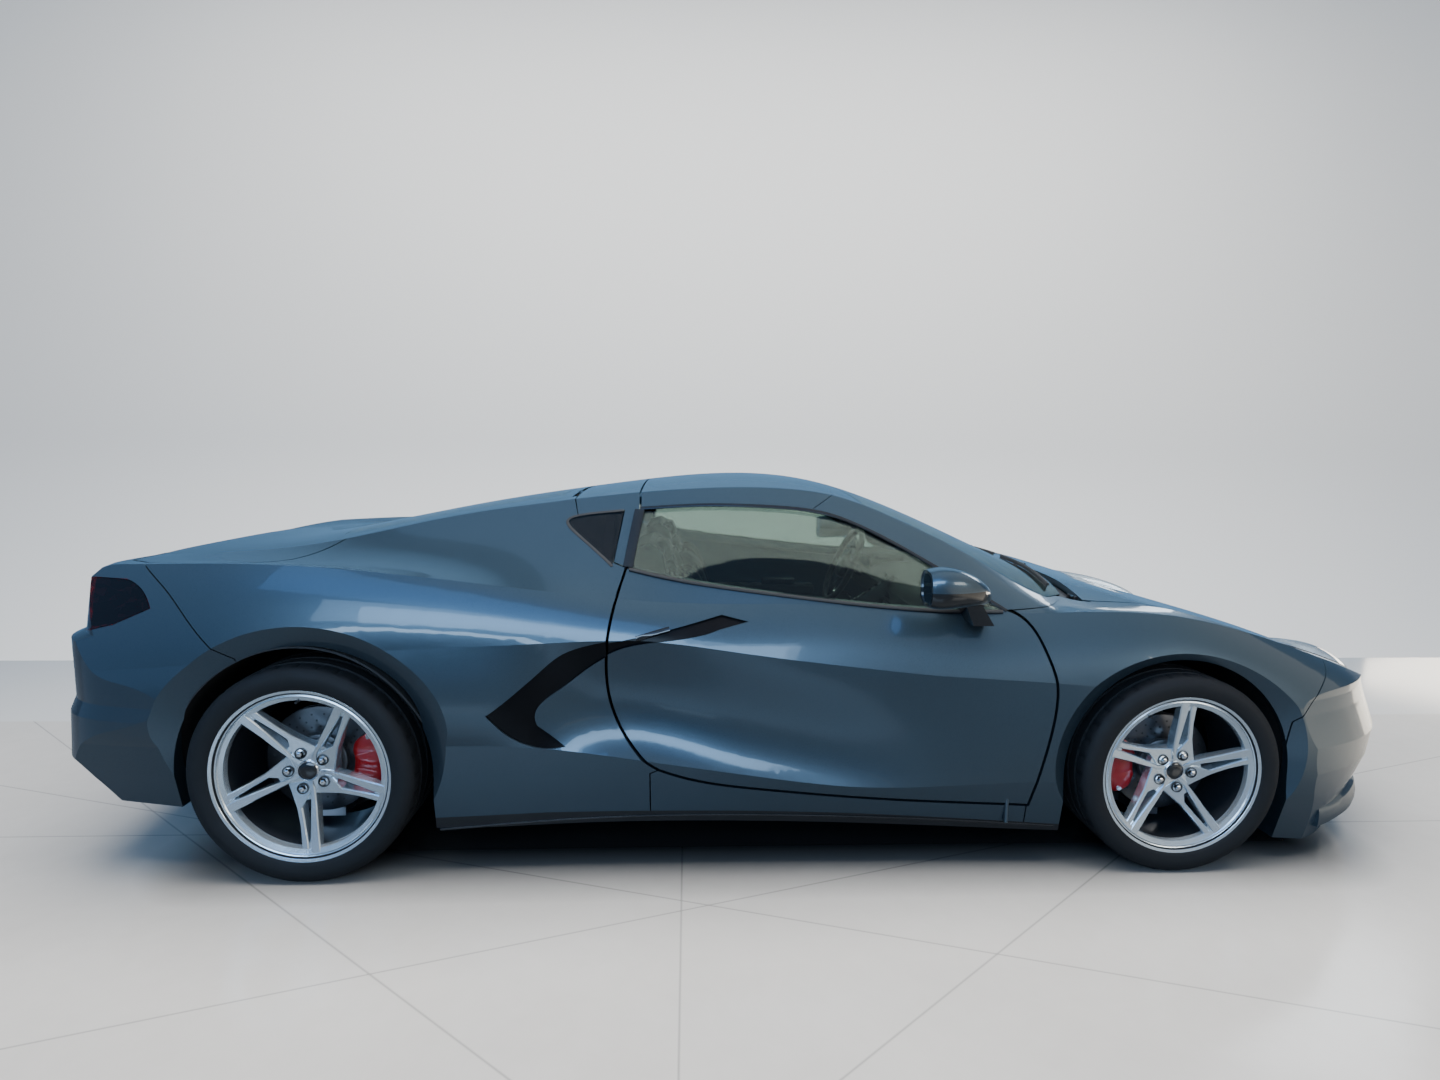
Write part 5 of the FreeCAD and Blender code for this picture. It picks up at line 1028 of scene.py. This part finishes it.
def studio_finish(name, wall):
    """Pale concrete or a plain wall, seen from the front only, with a darker copy for reflections and bounced light:
    painted reflection and painted shade.

    The concrete has joint lines, a painted shadow under the car, the wall's tone beyond it and, ahead of the car, a
    warm copy that glows in reflections and bounced light as painted bounce light.
    """
    made = Finish(name)
    x, y = made.axis("X"), made.axis("Y")
    cloud = made.noise(1.1, 6.0)
    if wall:
        # The wall's copy for reflections and bounced light is painted dark blue: painted reflection and shade.
        base, bounced, rough, shine = (0.62, 0.62, 0.61), (0.1, 0.2, 0.32), 0.8 + cloud * 0.1, 0.0
        glow, painted_warm_bounce = (0.3, 0.3, 0.295), (0.0, 0.0, 0.0)
    else:
        base = made.mix(cloud * 0.7 + made.noise(14.0, 6.0) * 0.3, (0.5, 0.475, 0.445), (0.68, 0.655, 0.62))
        joint = 0.0
        for along, across, place in ((1.0, 0.0, -0.33), (0.62, 0.785, -1.75), (0.62, -0.785, 1.35),
                                     (0.3, 0.954, -1.1), (0.3, -0.954, 0.95), (0.0, 1.0, -0.62)):
            away = x * along + y * across - place
            joint = joint + (1.0 - away.maths("ABSOLUTE", away) * 220.0).clipped()
        base = made.mix(joint.clipped() * 0.55, base, (0.16, 0.16, 0.155))
        # Painted shadow: the concrete goes almost black under the car and fades out round it.
        off_x, off_y = (axis.maths("MAXIMUM", axis.maths("ABSOLUTE", axis) - half, 0.0)
                        for axis, half in ((x, SHADE_HALF_LENGTH), (y, SHADE_HALF_WIDTH)))
        shade = (1.0 - ((off_x * off_x + off_y * off_y) ** 0.5) * 3.2).clipped()
        base = made.mix(shade * 0.97, base, (0.01, 0.011, 0.013))
        beyond = ((y - 0.5) * 40.0).clipped()
        beyond = beyond * (1.0 - shade)
        base = made.mix(beyond, base, (0.6, 0.6, 0.59))
        # Painted bounce light: ahead of the car the floor's copy for reflections and bounced light turns pale and
        # warm, and glows warm for them.
        ahead = ((x - 2.1) * 0.8).clipped()
        bounced = made.mix(ahead, (0.11, 0.12, 0.13), (0.6, 0.54, 0.45))
        painted_warm_bounce = made.mix(ahead, (0.0, 0.0, 0.0), (0.3, 0.26, 0.2))
        rough, shine = 0.13 + cloud * 0.1, 0.42
        glow = made.mix(beyond, (0.0, 0.0, 0.0), (0.04, 0.04, 0.04))
    # Camera and transmission rays see the base; reflections and bounced light see the painted copies.
    straight = made.node("ShaderNodeLightPath", output="Is Camera Ray")
    through = made.node("ShaderNodeLightPath", output="Is Transmission Ray")
    seen = (straight + through).clipped()
    front = 1.0 - made.node("ShaderNodeNewGeometry", output="Backfacing")
    return made.surface(Base_Color=made.mix(seen, bounced, base), Roughness=rough, Specular_IOR_Level=shine,
                        Emission_Color=made.mix(seen, painted_warm_bounce, glow), Emission_Strength=1.0, Alpha=front)


sweep = [(-FAR, 0.0), (WALL_FOOT, 0.0)]
sweep += [(WALL_FOOT + BEND * math.sin(a), BEND - BEND * math.cos(a)) for a in angles(72)[1:18]]
sweep += [(WALL, BEND), (WALL, WALL_TOP)]
points, faces = [(x, y, z) for y, z in sweep for x in (-FAR, FAR)], grid_faces(len(sweep), 2)
points += [(-FAR, WALL_FOOT, UNDER), (FAR, WALL_FOOT, UNDER), (FAR, 40, UNDER), (-FAR, 40, UNDER)]
faces.append(tuple(len(points) - i for i in (4, 3, 2, 1)))
floor_mesh = bpy.data.meshes.new("floor")
floor_mesh.from_pydata(points, [], faces)
for face in floor_mesh.polygons:
    face.use_smooth = True
floor = bpy.data.objects.new("floor", floor_mesh)
floor_mesh.materials.append(studio_finish("studio_floor", False))
floor_mesh.materials.append(studio_finish("studio_wall", True))
for face in floor_mesh.polygons:
    face.material_index = int(face.center.y > WALL_FOOT and face.center.z > UNDER / 2)
bpy.context.scene.collection.objects.link(floor)
floor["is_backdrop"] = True

world = bpy.data.worlds.new("studio")
bpy.context.scene.world = world
world.use_nodes = True
tree, link = world.node_tree, world.node_tree.links.new
sky, split, turn, tones = (tree.nodes.new("ShaderNode" + kind) for kind in (
    "TexCoord", "SeparateXYZ", "MapRange", "Mix"))
tones.data_type = "RGBA"
turn.inputs["From Min"].default_value, turn.inputs["From Max"].default_value = -0.2, 0.85
tones.inputs[6].default_value, tones.inputs[7].default_value = (0.25, 0.51, 0.95, 1.0), (0.8, 0.82, 0.8, 1.0)
link(sky.outputs["Generated"], split.inputs[0])
link(split.outputs["X"], turn.inputs["Value"])
link(turn.outputs[0], tones.inputs[0])
link(tones.outputs[2], tree.nodes["Background"].inputs["Color"])
tree.nodes["Background"].inputs["Strength"].default_value = 0.52


def softbox(name, place, aim, size, power, colour=(1, 1, 1), mirrored=True, lights=True):
    """A light panel that the camera doesn't see, shown in reflections or in plain light or in both."""
    light = bpy.data.lights.new(name, "AREA")
    light.shape, light.size, light.size_y = "RECTANGLE", size[0], size[1]
    light.energy, light.color = power, colour
    made = bpy.data.objects.new(name, light)
    made.location = place
    made.rotation_mode = "QUATERNION"
    made.rotation_quaternion = (Vector(aim) - Vector(place)).to_track_quat("-Z", "Y")
    made.visible_camera, made.visible_glossy, made.visible_diffuse = False, mirrored, lights
    bpy.context.scene.collection.objects.link(made)


softbox("overhead", (0, -0.5, 5.0), (0, 0, 0), (8.0, 4.0), 760, (1.0, 0.97, 0.92), False)
softbox("side", (-1.0, -7.5, 4.0), (0, 0, 0.6), (6.0, 2.2), 150, (0.52, 0.73, 1.0))
softbox("sky", (-1.5, -7.4, 4.3), (0, 0, 0.6), (7.0, 2.6), 170, (0.42, 0.67, 1.0), True, False)
softbox("shoulder", (-2.5, -6.0, 1.9), (-0.5, -0.9, 0.8), (3.2, 0.35), 34, (0.55, 0.76, 1.0), True, False)
softbox("hood", (4.3, 2.7, 3.3), (1.5, -0.5, 0.7), (2.6, 1.2), 70, (0.85, 0.93, 1.0), True, False)
softbox("nose", (5.6, 1.4, 0.3), (2.1, -0.5, 0.4), (2.4, 0.5), 26, (1.0, 0.9, 0.74), True, False)
softbox("arch", (5.2, -5.6, 2.4), (1.4, -0.9, 0.7), (2.6, 1.6), 62, (1.0, 0.96, 0.88), True, False)
softbox("high", (-2.2, -4.0, 4.8), (-0.8, -0.9, 0.9), (5.0, 2.0), 46, (0.12, 0.4, 1.0), True, False)
softbox("back", (1.0, 7.5, 3.5), (0, 0, 0.6), (6.0, 2.5), 140)

low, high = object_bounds()
